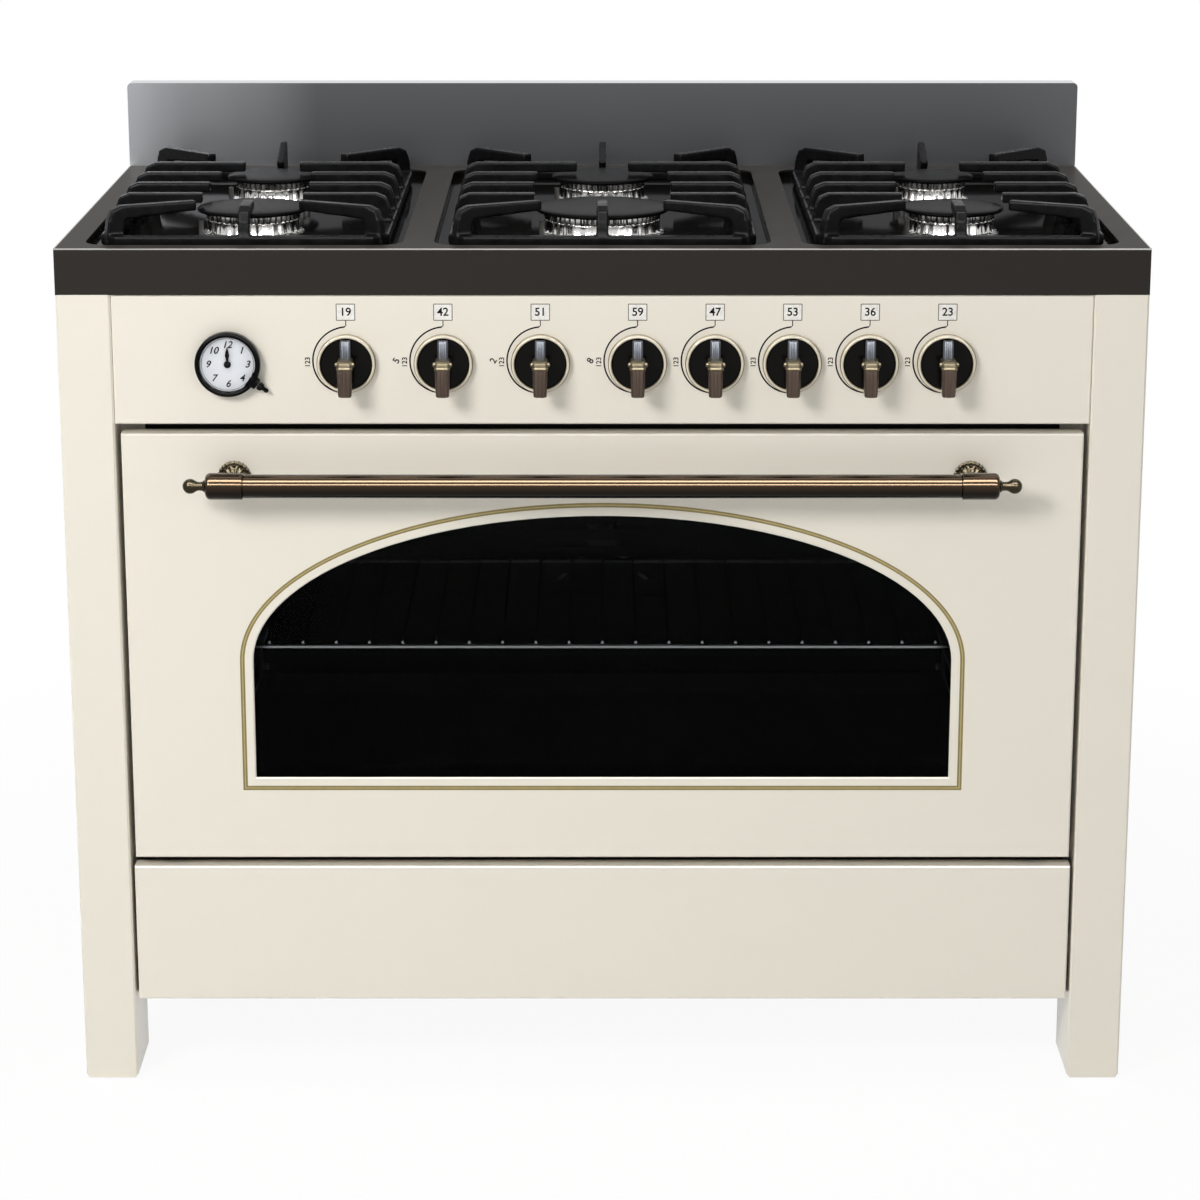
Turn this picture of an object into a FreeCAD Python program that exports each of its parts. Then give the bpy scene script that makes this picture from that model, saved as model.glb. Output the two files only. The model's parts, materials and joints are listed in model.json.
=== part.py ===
"""Freestanding range cooker: a six burner gas hob over one wide oven and a drawer.

All sizes are in millimetres. X runs to the right as the cook sees the cooker, Y runs from its
front to its back, and Z is up. The origin is on the floor under the middle of the overall box.
The spaces behind the front face of the corner posts are measured with behind().
"""
import FreeCAD
import Part
import math
import os

Vector = FreeCAD.Vector
ALONG_X = Vector(1, 0, 0)
ALONG_Y = Vector(0, 1, 0)
ALONG_Z = Vector(0, 0, 1)

# ---- Body -----------------------------------------------------------------------------------
OVERALL_WIDTH = 1100.0
BODY_DEPTH = 600.0
HOB_TOP_Z = 895.0
SHEET = 1.5
FINE_SIDES = 16
SIDES = 12
SMALL_SIDES = 8
CORNER_FACES = 4

POST_WIDTH = 55.0
POST_DEPTH = 90.0
POST_WALL = 2.0
POST_EDGE = 2.0
POST_TOE = 3.5
POST_RIM_Z = 1.5
DOOR_STOP_WIDTH = 25.0

SIDE_PANEL_RECESS = 2.0
SIDE_PANEL_RETURN = 20.0
BACK_PANEL_RECESS = 26.0
BODY_BOTTOM_Z = 91.0
FACE_CHAMFER = 1.5

VENT_COUNT = 6
VENT_WIDTH = 80.0
VENT_HEIGHT = 6.0
VENT_PITCH = 120.0
VENT_Z = 800.0
TIP_HOLE_R = 3.25
TIP_HOLE_SPACING = 800.0
TIP_HOLE_Z = 140.0

FOOT_R = 17.0
FOOT_PAD_HEIGHT = 5.0
FOOT_NECK_R = 8.0
FOOT_PLATE_Z = 20.0
FOOT_PLATE = 4.0
FOOT_STUD_R = 5.0
FOOT_STUD_TOP = 45.0

# ---- Hob ------------------------------------------------------------------------------------
HOB_BAND_HEIGHT = 47.0
HOB_SHEET = 2.0
HOB_EDGE_CHAMFER = 1.2
TRAY_SIDE_MARGIN = 26.0
TRAY_SPACING = 31.0
CENTRE_TRAY_EXTRA = 20.0
TRAY_FRONT = 22.0
TRAY_DEPTH = 523.0
TRAY_CORNER_R = 24.0
TRAY_RECESS = 6.0
TRAY_FLANGE = 7.0
TRAY_SHEET = 1.5
SPLASH_HEIGHT = 96.0
SPLASH_THICKNESS = 26.0
SPLASH_CORNER_R = 5.0

# ---- Burners: crown radius of the front and rear burner under each pan support ---------------
BURNER_RADII = [(48.0, 40.0), (60.0, 46.0), (44.0, 36.0)]
FRONT_BURNER_DEPTH = 140.0
BURNER_PITCH = 222.0
CUP_FLANGE = 3.0
CUP_RIM = 5.0
CUP_DROP = 30.0
CUP_WALL = 3.0
CROWN_HEIGHT = 22.0
CROWN_WALL = 12.0
PORT_WIDTH = 5.0
PORT_DEPTH = 4.0
PORT_PITCH = 33.0
CAP_OVERLAP = 10.0
CAP_HEIGHT = 5.5
CAP_BEVEL = 3.0
IGNITER_R = 2.6
IGNITER_HEIGHT = 18.0
IGNITER_GAP = 9.0
IGNITER_ANGLE = 205.0

# ---- Pan supports ----------------------------------------------------------------------------
GRATE_INSET = 14.5
GRATE_DEPTH = 467.0
GRATE_FOOT_R = 8.0
GRATE_FOOT_HEIGHT = 3.0
GRATE_BAR_WIDTH = 12.0
GRATE_BAR_HEIGHT = 11.0
GRATE_CORNER = 16.0
GRATE_CORNER_POST = 11.0
GRATE_RISE = 35.0
FINGER_THICKNESS = 12.0
FINGER_POST = 18.0
FINGER_LEAN = 4.0
FINGER_BEND = 14.0
FINGER_ROOT = 14.0
FINGER_TIP = 10.0
FINGER_ROWS = 4
FINGER_TIP_GAPS = [
    (52.0, 52.0, 48.0, 30.0), (70.0, 72.0, 70.0, 28.0), (52.0, 52.0, 48.0, 30.0)
]
CORNER_FINGER_REACH = 98.0
FRONT_CORNER_ANGLE = 26.0
REAR_CORNER_ANGLE = 45.0
MIDDLE_FINGER_REACH = 58.0
BLADE_THICKNESS = 8.0
BLADE_RISE = 4.0
BLADE_DROP = 12.0
BLADE_TOE = 19.0

# ---- Control panel ---------------------------------------------------------------------------
CONTROL_HEIGHT = 133.0
CONTROL_SETBACK = 1.0
CONTROL_RETURN = 18.0
CONTROL_SIDE_GAP = 0.5
KNOB_DROP = 70.0
LEFT_KNOBS = 4
LEFT_KNOB_PITCH = 98.0
RIGHT_KNOBS = 4
RIGHT_KNOB_PITCH = 78.0
MIDDLE_KNOB_X = 35.5
OVEN_KNOBS = 2

BEZEL_R = 30.0
BEZEL_INNER_R = 26.6
BEZEL_HEIGHT = 9.0
BEZEL_FLOOR = 4.0
SHAFT_HOLE_R = 5.0

LEVER_GAP = 10.0
LEVER_FRONT = 34.0
LEVER_LENGTH = 29.0
LEVER_WIDTH = 15.0
LEVER_TIP_WIDTH = 13.0
LEVER_THICKNESS = 12.0
LEVER_BEVEL = 2.5
COLLAR_WIDTH = 16.0
COLLAR_HEIGHT = 9.0
COLLAR_BEVEL = 2.0
POINTER_WIDTH = 10.5
POINTER_LENGTH = 25.5
POINTER_THICKNESS = 7.0
POINTER_RIDGE = 3.0
NUB_R = 3.2
NUB_LENGTH = 3.5
SPINDLE_R = 3.0
SPINDLE_FIT = 0.05
SPINDLE_TRAVEL = 5.0

TAP_FRONT = 28.0
TAP_WIDTH = 24.0
TAP_LENGTH = 38.0
TAP_HEIGHT = 26.0
TAP_BEVEL = 5.0
TAP_BORE = 14.0
RAIL_SIZE = 18.0
RAIL_END_INSET = 62.0
PIPE_R = 3.5
PIPE_LEVEL_STEP = 8.0
PIPE_FIRST_RISE = 16.0
INLET_R = 10.48
INLET_LENGTH = 24.0
INLET_HOLE_GAP = 3.0
CONTROL_BLOCK = 44.0
CONTROL_BLOCK_LENGTH = 42.0

CLOCK_X = -378.0
CLOCK_R = 32.5
CLOCK_LIP = 4.5
CLOCK_HEIGHT = 12.0
CLOCK_DIAL_DEPTH = 6.0
CLOCK_BODY_R = 27.0
CLOCK_BODY_LENGTH = 32.0
CLOCK_GLASS = 1.5
ARBOR_R = 1.5
ARBOR_LENGTH = 3.5
HAND_LENGTH = 17.0
HAND_WIDTH = 4.4
HAND_HUB_R = 3.4
HAND_THICKNESS = 1.2
HAND_LIFT = 0.8
SETTER_ANGLE = -35.0
SETTER_BOSS_REACH = 36.0
SETTER_STEM_R = 2.0
SETTER_CROWN_R = 4.2
SETTER_TIP_R = 3.0
SETTER_REACH = 49.0
SETTER_CROWN_GAP = 0.8
SETTER_SOCKET = 5.0

# ---- Oven ------------------------------------------------------------------------------------
CAVITY_SIDE_MARGIN = 95.0
CAVITY_BOTTOM_MARGIN = 40.0
CAVITY_TOP_MARGIN = 40.0
CAVITY_REAR_SPACE = 97.0
CAVITY_CORNER = 12.0
FRAME_SHEET = 2.0
FRAME_DROP = 8.0
SEAL_OFFSET = 4.0
SEAL_WIDTH = 10.0
SEAL_GAP = 0.6
INSULATION_GAP = 13.0
INSULATION_THICKNESS = 20.0

ELEMENT_R = 4.0
GRILL_DROP = 20.0
GRILL_RUNS = 4
GRILL_RUN_PITCH = 80.0
GRILL_SIDE_MARGIN = 70.0
GRILL_FRONT_MARGIN = 60.0
FLOOR_LOOP_MARGIN = 90.0
ELEMENT_PLATE = 3.0

FAN_R = 78.0
FAN_HUB_R = 18.0
FAN_BLADE_ROOT = 2.0
FAN_BLADES = 8
FAN_BLADE_WIDTH = 20.0
FAN_BLADE_SHEET = 1.2
FAN_WALL_GAP = 8.0
FAN_SHAFT_R = 4.0
FAN_SHAFT_HOLE_R = 8.0
FAN_COVER_SIZE = 230.0
FAN_COVER_DEPTH = 44.0
FAN_COVER_SLOTS = 7
FAN_COVER_SLOT_WIDTH = 8.0
FAN_COVER_SLOT_PITCH = 20.0
MOTOR_R = 38.0
MOTOR_LENGTH = 42.0

RUNNER_WIRE_R = 3.0
RUNNER_WALL_GAP = 4.0
RUNNER_FRONT_MARGIN = 20.0
RUNNER_REAR_MARGIN = 30.0
RUNNER_LEVELS = 6
RUNNER_PITCH = 43.0
RUNNER_FIRST = 36.0
RACK_LEVEL = 3
RACK_BAR_R = 3.0
RACK_WIRE_R = 1.8
RACK_WIRE_PITCH = 35.0
RACK_SIDE_GAP = 3.0
RACK_REAR_SPACE = 60.0
RACK_WELD = 0.6
SEAT_GAP = 0.05
TRAY_PAN_HEIGHT = 24.0
TRAY_PAN_SHEET = 1.2
TRAY_PAN_RIM = 14.0

# ---- Oven door -------------------------------------------------------------------------------
PANEL_GAP = 10.0
DOOR_HEIGHT = 455.0
DOOR_SIDE_GAP = 6.0
DOOR_THICKNESS = 40.0
DOOR_PAN_DEPTH = 24.0
DOOR_SKIN = 2.0
DOOR_BACK_GAP = 5.0
DOOR_INNER_INSET = 10.0
WINDOW_SIDE_MARGIN = 128.5
WINDOW_BOTTOM_MARGIN = 88.0
WINDOW_TOP_MARGIN = 86.0
WINDOW_ARCH_RISE = 155.0
WINDOW_BEVEL = 1.2
STRIPE_GAP = 9.0
STRIPE_WIDTH = 5.0
STRIPE_DEPTH = 0.4
GLASS = 4.0
GLASS_LAP = 14.0
INNER_WINDOW_MARGIN = 75.0
DOOR_INNER_SHEET = 1.5

HINGE_SETBACK = 18.0
HINGE_RISE = 12.0
HINGE_INSET = 45.0
HINGE_KNUCKLE_R = 7.0
HINGE_PIN_R = 4.0
HINGE_FIT = 0.05
HINGE_ARM_WIDTH = 14.0
HINGE_CHEEK = 3.0
HINGE_CHEEK_GAP = 2.0
HINGE_STRAP = 90.0
HINGE_NOTCH_GAP = 2.0
HINGE_PLATE = 3.0
HINGE_PLATE_HEIGHT = 60.0

# ---- Door handle -----------------------------------------------------------------------------
HANDLE_STANDOFF = 40.0
HANDLE_DROP = 45.0
HANDLE_BAR_R = 12.0
HANDLE_BAR_HALF = 362.0
SLEEVE_R = 13.5
SLEEVE_LENGTH = 38.0
SLEEVE_SHOULDER = 3.5
NECK_R = 5.35
NECK_LENGTH = 9.5
BALL_R = 7.65
BALL_TURNS = (70, 100, 130, 160)
HANDLE_POST_INSET = 12.5
HANDLE_POST_R = 6.5
ROSETTE_R = 17.5
ROSETTE_RIM = 3.0
ROSETTE_DOME = 8.0
ROSETTE_DOME_R = 12.5

# ---- Drawer ----------------------------------------------------------------------------------
DRAWER_SIDE_GAP = 4.0
DRAWER_FRONT_DEPTH = 20.0
DRAWER_SHEET = 1.5
DRAWER_BOX_DEPTH = 470.0
DRAWER_BOX_RISE = 22.0
DRAWER_BOX_HEIGHT = 100.0
RAIL_CHANNEL_WIDTH = 12.0
RAIL_CHANNEL_HEIGHT = 22.0
RAIL_CHANNEL_WALL = 2.0
RAIL_CHANNEL_RISE = 18.0
RAIL_FRONT = 30.0
RUNNER_CLEARANCE = 1.0
RUNNER_BAR_LENGTH = 400.0

TERMINAL_WIDTH = 110.0
TERMINAL_HEIGHT = 70.0
TERMINAL_DEPTH = 22.0
TERMINAL_WALL = 2.5
TERMINAL_INSET = 220.0
TERMINAL_Z = 300.0
GLAND_R = 6.5
GLAND_OUTER_R = 11.0
GLAND_LENGTH = 14.0

# ---- Places worked out from the sizes above --------------------------------------------------
HALF_WIDTH = OVERALL_WIDTH / 2
HANDLE_REACH = HANDLE_STANDOFF + SLEEVE_R
FRONT_Y = (HANDLE_REACH - BODY_DEPTH) / 2
BACK_Y = FRONT_Y + BODY_DEPTH
BAND_Z = HOB_TOP_Z - HOB_BAND_HEIGHT
OPENING_HALF = HALF_WIDTH - POST_WIDTH
BACK_PANEL_Y = BACK_Y - BACK_PANEL_RECESS
TERMINAL_X = HALF_WIDTH - TERMINAL_INSET

CONTROL_BOTTOM_Z = BAND_Z - CONTROL_HEIGHT
CONTROL_Y = FRONT_Y + CONTROL_SETBACK
KNOB_Z = BAND_Z - KNOB_DROP
DOOR_TOP_Z = CONTROL_BOTTOM_Z - PANEL_GAP
DOOR_BOTTOM_Z = DOOR_TOP_Z - DOOR_HEIGHT
DOOR_HALF = OPENING_HALF - DOOR_SIDE_GAP
DRAWER_TOP_Z = DOOR_BOTTOM_Z - PANEL_GAP
DOOR_BACK_Y = FRONT_Y + DOOR_THICKNESS
FRAME_Y = DOOR_BACK_Y + DOOR_BACK_GAP
HINGE_X = OPENING_HALF - HINGE_INSET
HINGE_Y = FRONT_Y + HINGE_SETBACK
HINGE_Z = DOOR_BOTTOM_Z + HINGE_RISE
HANDLE_Y = FRONT_Y - HANDLE_STANDOFF
HANDLE_Z = DOOR_TOP_Z - HANDLE_DROP

CAVITY_HALF = OPENING_HALF - CAVITY_SIDE_MARGIN
CAVITY_FLOOR_Z = DOOR_BOTTOM_Z + CAVITY_BOTTOM_MARGIN
CAVITY_ROOF_Z = DOOR_TOP_Z - CAVITY_TOP_MARGIN
CAVITY_FRONT_Y = FRAME_Y + FRAME_SHEET
CAVITY_BACK_Y = BACK_PANEL_Y - CAVITY_REAR_SPACE
CAVITY_MID_Z = (CAVITY_FLOOR_Z + CAVITY_ROOF_Z) / 2
INSULATION_BACK_Y = CAVITY_BACK_Y + SHEET + INSULATION_GAP + INSULATION_THICKNESS
RUNNER_X = CAVITY_HALF - RUNNER_WALL_GAP - RUNNER_WIRE_R
RACK_SEAT_Z = CAVITY_FLOOR_Z + RUNNER_FIRST + RACK_LEVEL * RUNNER_PITCH + RUNNER_WIRE_R

TRAY_TOP_Z = HOB_TOP_Z - HOB_SHEET
TRAY_FLOOR_Z = TRAY_TOP_Z - TRAY_RECESS
TRAY_WIDTH = (OVERALL_WIDTH - 2 * TRAY_SIDE_MARGIN - 2 * TRAY_SPACING - CENTRE_TRAY_EXTRA) / 3
TRAY_PITCH = TRAY_WIDTH + TRAY_SPACING + CENTRE_TRAY_EXTRA / 2
TRAY_WIDTHS = [TRAY_WIDTH, TRAY_WIDTH + CENTRE_TRAY_EXTRA, TRAY_WIDTH]
TRAY_CENTRES = [-TRAY_PITCH, 0.0, TRAY_PITCH]
SPLASH_TOP_Z = HOB_TOP_Z + SPLASH_HEIGHT
BURNER_DEPTHS = [FRONT_BURNER_DEPTH, FRONT_BURNER_DEPTH + BURNER_PITCH]
CROWN_Z = TRAY_FLOOR_Z + CUP_FLANGE
CAP_Z = CROWN_Z + CROWN_HEIGHT
GRATE_Z = TRAY_FLOOR_Z + GRATE_FOOT_HEIGHT
FINGER_TOP_Z = HOB_TOP_Z + GRATE_RISE

RAIL_Y = FRONT_Y + TAP_FRONT + TAP_LENGTH
DIAL_FACE_Y = CONTROL_Y - CLOCK_DIAL_DEPTH

KNOB_XS = [MIDDLE_KNOB_X - LEFT_KNOB_PITCH * (LEFT_KNOBS - 1 - n) for n in range(LEFT_KNOBS)]
KNOB_XS += [MIDDLE_KNOB_X + RIGHT_KNOB_PITCH * (n + 1) for n in range(RIGHT_KNOBS)]


# ---- Building blocks -------------------------------------------------------------------------
def behind(depth):
    """Y of a plane this far behind the front face of the posts."""
    return FRONT_Y + depth


def box(x0, x1, y0, y1, z0, z1):
    return Part.makeBox(x1 - x0, y1 - y0, z1 - z0, Vector(x0, y0, z0))


def rounded_slab(x0, x1, y0, y1, z0, z1, radius):
    """Box whose upright edges are rounded by a few flat faces."""
    corners = []
    for x, y, first in (
        (x1 - radius, y1 - radius, 0), (x0 + radius, y1 - radius, 90),
        (x0 + radius, y0 + radius, 180), (x1 - radius, y0 + radius, 270),
    ):
        for n in range(CORNER_FACES + 1):
            turn = math.radians(first + 90 * n / CORNER_FACES)
            corners.append(Vector(x + radius * math.cos(turn), y + radius * math.sin(turn), z0))
    return plate(outline(*corners), ALONG_Z * (z1 - z0))


def bevelled_box(x0, x1, y0, y1, z0, z1, bevel, along):
    """Box whose four edges that run along one axis are cut off flat."""
    shape = box(x0, x1, y0, y1, z0, z1)
    return shape.makeChamfer(bevel, edges_along(shape, along))


def edges_along(shape, axis):
    found = []
    for edge in shape.Edges:
        ends = edge.Vertexes[-1].Point - edge.Vertexes[0].Point
        if ends.Length > 0 and abs(ends.normalize().dot(axis)) > 0.999:
            found.append(edge)
    return found


def edges_at_y(shape, y):
    """Straight and curved edges that lie in the plane at this Y."""
    return [
        e for e in shape.Edges if abs(e.BoundBox.YMin - y) < 1e-6 and abs(e.BoundBox.YMax - y) < 1e-6
    ]


def cylinder(radius, start, end):
    return Part.makeCylinder(radius, (end - start).Length, start, end - start)


def outline(start, *steps):
    """Closed wire. A step is the next corner, or a pair: a point on an arc and its end."""
    edges = []
    here = start
    for step in steps:
        if isinstance(step, tuple):
            edges.append(Part.Arc(here, step[0], step[1]).toShape())
            here = step[1]
        else:
            edges.append(Part.makeLine(here, step))
            here = step
    edges.append(Part.makeLine(here, start))
    return Part.Wire(edges)


def plate(wire, push):
    """Solid made by pushing a flat outline along a vector."""
    return Part.Face(wire).extrude(push)


def side_of(axis):
    """A unit vector square to this one."""
    helper = ALONG_X if abs(axis.x) < 0.9 else ALONG_Z
    return axis.cross(helper).normalize()


def ring_of_points(centre, axis, radius, sides):
    across = side_of(axis)
    over = axis.cross(across)
    turns = [math.radians(360 * (n + 0.5) / sides) for n in range(sides)]
    return [centre + across * (radius * math.cos(a)) + over * (radius * math.sin(a)) for a in turns]


def ring_plate(centre, axis, radius, sides, length):
    """Flat-sided disc or bar: a regular outline pushed along its axis."""
    return plate(outline(*ring_of_points(centre, axis, radius, sides)), axis * length)


def banded(*rings):
    """Flat-faced solid through rings that have the same number of points."""
    count = len(rings[0])
    faces = [Part.Face(outline(*rings[0])), Part.Face(outline(*rings[-1]))]
    for low, high in zip(rings, rings[1:]):
        for n in range(count):
            m = (n + 1) % count
            faces.append(Part.Face(outline(low[n], low[m], high[m], high[n])))
    solid = Part.Solid(Part.Shell(faces))
    if solid.Volume < 0:
        solid.reverse()
    return solid.removeSplitter()


def spun(profile, base, axis, sides):
    """Flat-sided turned piece: rings of (radius, distance along the axis) joined in order."""
    return banded(*[
        ring_of_points(base + axis * along, axis, radius, sides) for radius, along in profile
    ])


def rod(points, radius, sides=8):
    """Flat-sided bar along straight runs with mitred corners."""
    axis = (points[1] - points[0]).normalize()
    section = outline(*ring_of_points(points[0], axis, radius, sides))
    return Part.makePolygon(points).makePipeShell([section], True, False, 1)


def mirrored(shape):
    """The shape and its twin on the other side of the cooker."""
    return [shape, shape.mirror(Vector(0, 0, 0), ALONG_X)]


def joined(shapes):
    whole = shapes[0]
    if len(shapes) > 1:
        whole = whole.multiFuse(shapes[1:])
    return whole.removeSplitter()


def save(name, *solids):
    shape = solids[0] if len(solids) == 1 else Part.makeCompound(list(solids))
    shape.exportStep("parts/" + name + ".step")


# ---- Body ------------------------------------------------------------------------------------
def corner_post(front):
    """Right-hand post of folded sheet, open at the foot, with blunted toes."""
    y0 = FRONT_Y if front else BACK_Y - POST_DEPTH
    y1 = y0 + POST_DEPTH
    x0 = OPENING_HALF
    tube = bevelled_box(x0, HALF_WIDTH, y0, y1, POST_RIM_Z, BAND_Z, POST_EDGE, ALONG_Z)
    toes = bevelled_box(x0, HALF_WIDTH, y0, y1, POST_RIM_Z, 2 * BAND_Z, POST_TOE, ALONG_Y)
    tube = tube.common(toes)
    hollow = box(
        x0 + POST_WALL, HALF_WIDTH - POST_WALL, y0 + POST_WALL, y1 - POST_WALL, 0, BAND_Z
    )
    tube = tube.cut(hollow)
    x, y = foot_place(front)
    shelf = box(
        x0 + POST_WALL, HALF_WIDTH - POST_WALL, y0 + POST_WALL, y1 - POST_WALL,
        FOOT_PLATE_Z, FOOT_PLATE_Z + FOOT_PLATE,
    )
    stud_hole = ring_plate(Vector(x, y, 0), ALONG_Z, FOOT_STUD_R, SMALL_SIDES, BAND_Z)
    return joined([tube, shelf.cut(stud_hole)])


def foot_place(front):
    x = HALF_WIDTH - POST_WIDTH / 2
    y = FRONT_Y + POST_DEPTH / 2 if front else BACK_Y - POST_DEPTH / 2
    return x, y


def corner_posts():
    save("corner_posts", *mirrored(corner_post(True)), *mirrored(corner_post(False)))


def levelling_feet():
    """Pads on threaded studs, screwed up through the shelf inside each post."""
    feet = []
    for front in (True, False):
        x, y = foot_place(front)
        foot = spun(
            [
                (FOOT_R, 0), (FOOT_NECK_R, FOOT_PAD_HEIGHT), (FOOT_NECK_R, FOOT_PLATE_Z),
                (FOOT_STUD_R, FOOT_PLATE_Z), (FOOT_STUD_R, FOOT_STUD_TOP),
            ],
            Vector(x, y, 0), ALONG_Z, SMALL_SIDES,
        )
        feet += mirrored(foot)
    save("levelling_feet", *feet)


def side_panels():
    outer = HALF_WIDTH - SIDE_PANEL_RECESS
    inner = outer - SIDE_PANEL_RETURN
    y0 = FRONT_Y + POST_DEPTH
    y1 = BACK_Y - POST_DEPTH
    pan = box(inner, outer, y0, y1, BODY_BOTTOM_Z, BAND_Z)
    hollow = box(
        inner, outer - SHEET, y0 + SHEET, y1 - SHEET, BODY_BOTTOM_Z + SHEET, BAND_Z - SHEET
    )
    save("side_panels", *mirrored(pan.cut(hollow)))


def back_panel():
    y0 = BACK_PANEL_Y - SHEET
    sheet = box(-OPENING_HALF, OPENING_HALF, y0, BACK_PANEL_Y, BODY_BOTTOM_Z, BAND_Z)
    cuts = []
    for n in range(VENT_COUNT):
        x = (n - (VENT_COUNT - 1) / 2) * VENT_PITCH
        cuts.append(box(x - VENT_WIDTH / 2, x + VENT_WIDTH / 2, y0, BACK_PANEL_Y,
                        VENT_Z, VENT_Z + VENT_HEIGHT))
    for x in (-TIP_HOLE_SPACING / 2, TIP_HOLE_SPACING / 2):
        cuts.append(through_back(TIP_HOLE_R, x, TIP_HOLE_Z))
    cuts.append(ring_plate(
        Vector(inlet_x(), y0, KNOB_Z), ALONG_Y, INLET_R + INLET_HOLE_GAP, SMALL_SIDES, SHEET
    ))
    cuts.append(box(
        TERMINAL_X - TERMINAL_WIDTH / 2, TERMINAL_X + TERMINAL_WIDTH / 2, y0, BACK_PANEL_Y,
        TERMINAL_Z - TERMINAL_HEIGHT / 2, TERMINAL_Z + TERMINAL_HEIGHT / 2,
    ))
    save("back_panel", sheet.cut(cuts))


def through_back(radius, x, z):
    return cylinder(radius, Vector(x, BACK_PANEL_Y - SHEET, z), Vector(x, BACK_PANEL_Y, z))


def base_panel():
    """Floor of the drawer space, folded up along its front edge."""
    inner = HALF_WIDTH - SIDE_PANEL_RECESS - SIDE_PANEL_RETURN
    y0 = FRONT_Y + POST_DEPTH
    floor = box(-inner, inner, y0, BACK_Y - POST_DEPTH, BODY_BOTTOM_Z, BODY_BOTTOM_Z + SHEET)
    tongue = box(
        -OPENING_HALF, OPENING_HALF, FRONT_Y + DRAWER_FRONT_DEPTH + RUNNER_CLEARANCE,
        BACK_PANEL_Y - SHEET, BODY_BOTTOM_Z, BODY_BOTTOM_Z + SHEET,
    )
    save("base_panel", joined([floor, tongue]))


def terminal_box():
    """Cable entry let into the back panel, with its gland facing down."""
    x0 = TERMINAL_X - TERMINAL_WIDTH / 2
    x1 = TERMINAL_X + TERMINAL_WIDTH / 2
    z0 = TERMINAL_Z - TERMINAL_HEIGHT / 2
    z1 = TERMINAL_Z + TERMINAL_HEIGHT / 2
    case = box(x0, x1, BACK_PANEL_Y - SHEET, BACK_PANEL_Y + TERMINAL_DEPTH, z0, z1)
    room = box(
        x0 + TERMINAL_WALL, x1 - TERMINAL_WALL,
        BACK_PANEL_Y - SHEET + TERMINAL_WALL, BACK_PANEL_Y + TERMINAL_DEPTH - TERMINAL_WALL,
        z0 + TERMINAL_WALL, z1 - TERMINAL_WALL,
    )
    y = BACK_PANEL_Y + TERMINAL_DEPTH / 2 - SHEET / 2
    top = Vector(TERMINAL_X, y, z0 + TERMINAL_WALL)
    end = Vector(TERMINAL_X, y, z0 - GLAND_LENGTH)
    gland = rod([Vector(TERMINAL_X, y, z0), end], GLAND_OUTER_R, 6)
    save("terminal_box", joined([case.cut(room), gland]).cut(cylinder(GLAND_R, top, end)))


# ---- Hob -------------------------------------------------------------------------------------
def tray_limits(n, grow=0.0):
    """X and Y limits of one spill tray's opening."""
    half = TRAY_WIDTHS[n] / 2 + grow
    return (
        TRAY_CENTRES[n] - half, TRAY_CENTRES[n] + half,
        behind(TRAY_FRONT) - grow, behind(TRAY_FRONT + TRAY_DEPTH) + grow,
    )


def hob_top():
    """Folded worktop: a top with three openings and a deep band on all four sides."""
    shell = box(-HALF_WIDTH, HALF_WIDTH, FRONT_Y, BACK_Y, BAND_Z, HOB_TOP_Z)
    upper = [e for e in shell.Edges if e.BoundBox.ZMin > HOB_TOP_Z - 1e-6]
    shell = shell.makeChamfer(HOB_EDGE_CHAMFER, upper)
    hollow = box(
        -HALF_WIDTH + HOB_SHEET, HALF_WIDTH - HOB_SHEET,
        FRONT_Y + HOB_SHEET, BACK_Y - HOB_SHEET, BAND_Z, HOB_TOP_Z - HOB_SHEET,
    )
    openings = [
        rounded_slab(*tray_limits(n), TRAY_TOP_Z, HOB_TOP_Z, TRAY_CORNER_R)
        for n in range(len(TRAY_CENTRES))
    ]
    save("hob_top", shell.cut([hollow] + openings))


def hob_trays():
    """Pressed spill trays hung under the worktop's openings."""
    trays = []
    for n in range(len(TRAY_CENTRES)):
        bottom = TRAY_FLOOR_Z - TRAY_SHEET
        pan = box(*tray_limits(n, TRAY_FLANGE), bottom, TRAY_TOP_Z)
        recess = rounded_slab(*tray_limits(n), TRAY_FLOOR_Z, TRAY_TOP_Z, TRAY_CORNER_R)
        holes = [
            ring_plate(
                Vector(x, y, bottom), ALONG_Z, cup_radius(radius) + SEAT_GAP, SIDES, TRAY_SHEET
            )
            for x, y, radius in burners_of(n)
        ]
        trays.append(pan.cut([recess] + holes))
    save("hob_trays", *trays)


def splashback():
    """Upstand of folded sheet with small rounded top corners, open below."""
    def upstand(inset):
        return box(
            -HALF_WIDTH + inset, HALF_WIDTH - inset, BACK_Y - SPLASH_THICKNESS + inset,
            BACK_Y - inset, HOB_TOP_Z, SPLASH_TOP_Z - inset,
        )

    shape = upstand(0)
    corners = [e for e in edges_along(shape, ALONG_Y) if e.BoundBox.ZMin > HOB_TOP_Z + 1]
    shape = shape.makeFillet(SPLASH_CORNER_R, corners)
    save("splashback", shape.cut(upstand(HOB_SHEET)))


# ---- Burners ---------------------------------------------------------------------------------
def burners_of(n):
    """Centre and crown radius of the two burners in one tray."""
    return [
        (TRAY_CENTRES[n], behind(depth), radius)
        for depth, radius in zip(BURNER_DEPTHS, BURNER_RADII[n])
    ]


def all_burners():
    return [burner for n in range(len(TRAY_CENTRES)) for burner in burners_of(n)]


def cup_radius(crown_radius):
    return crown_radius - CROWN_WALL + CUP_WALL


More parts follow.
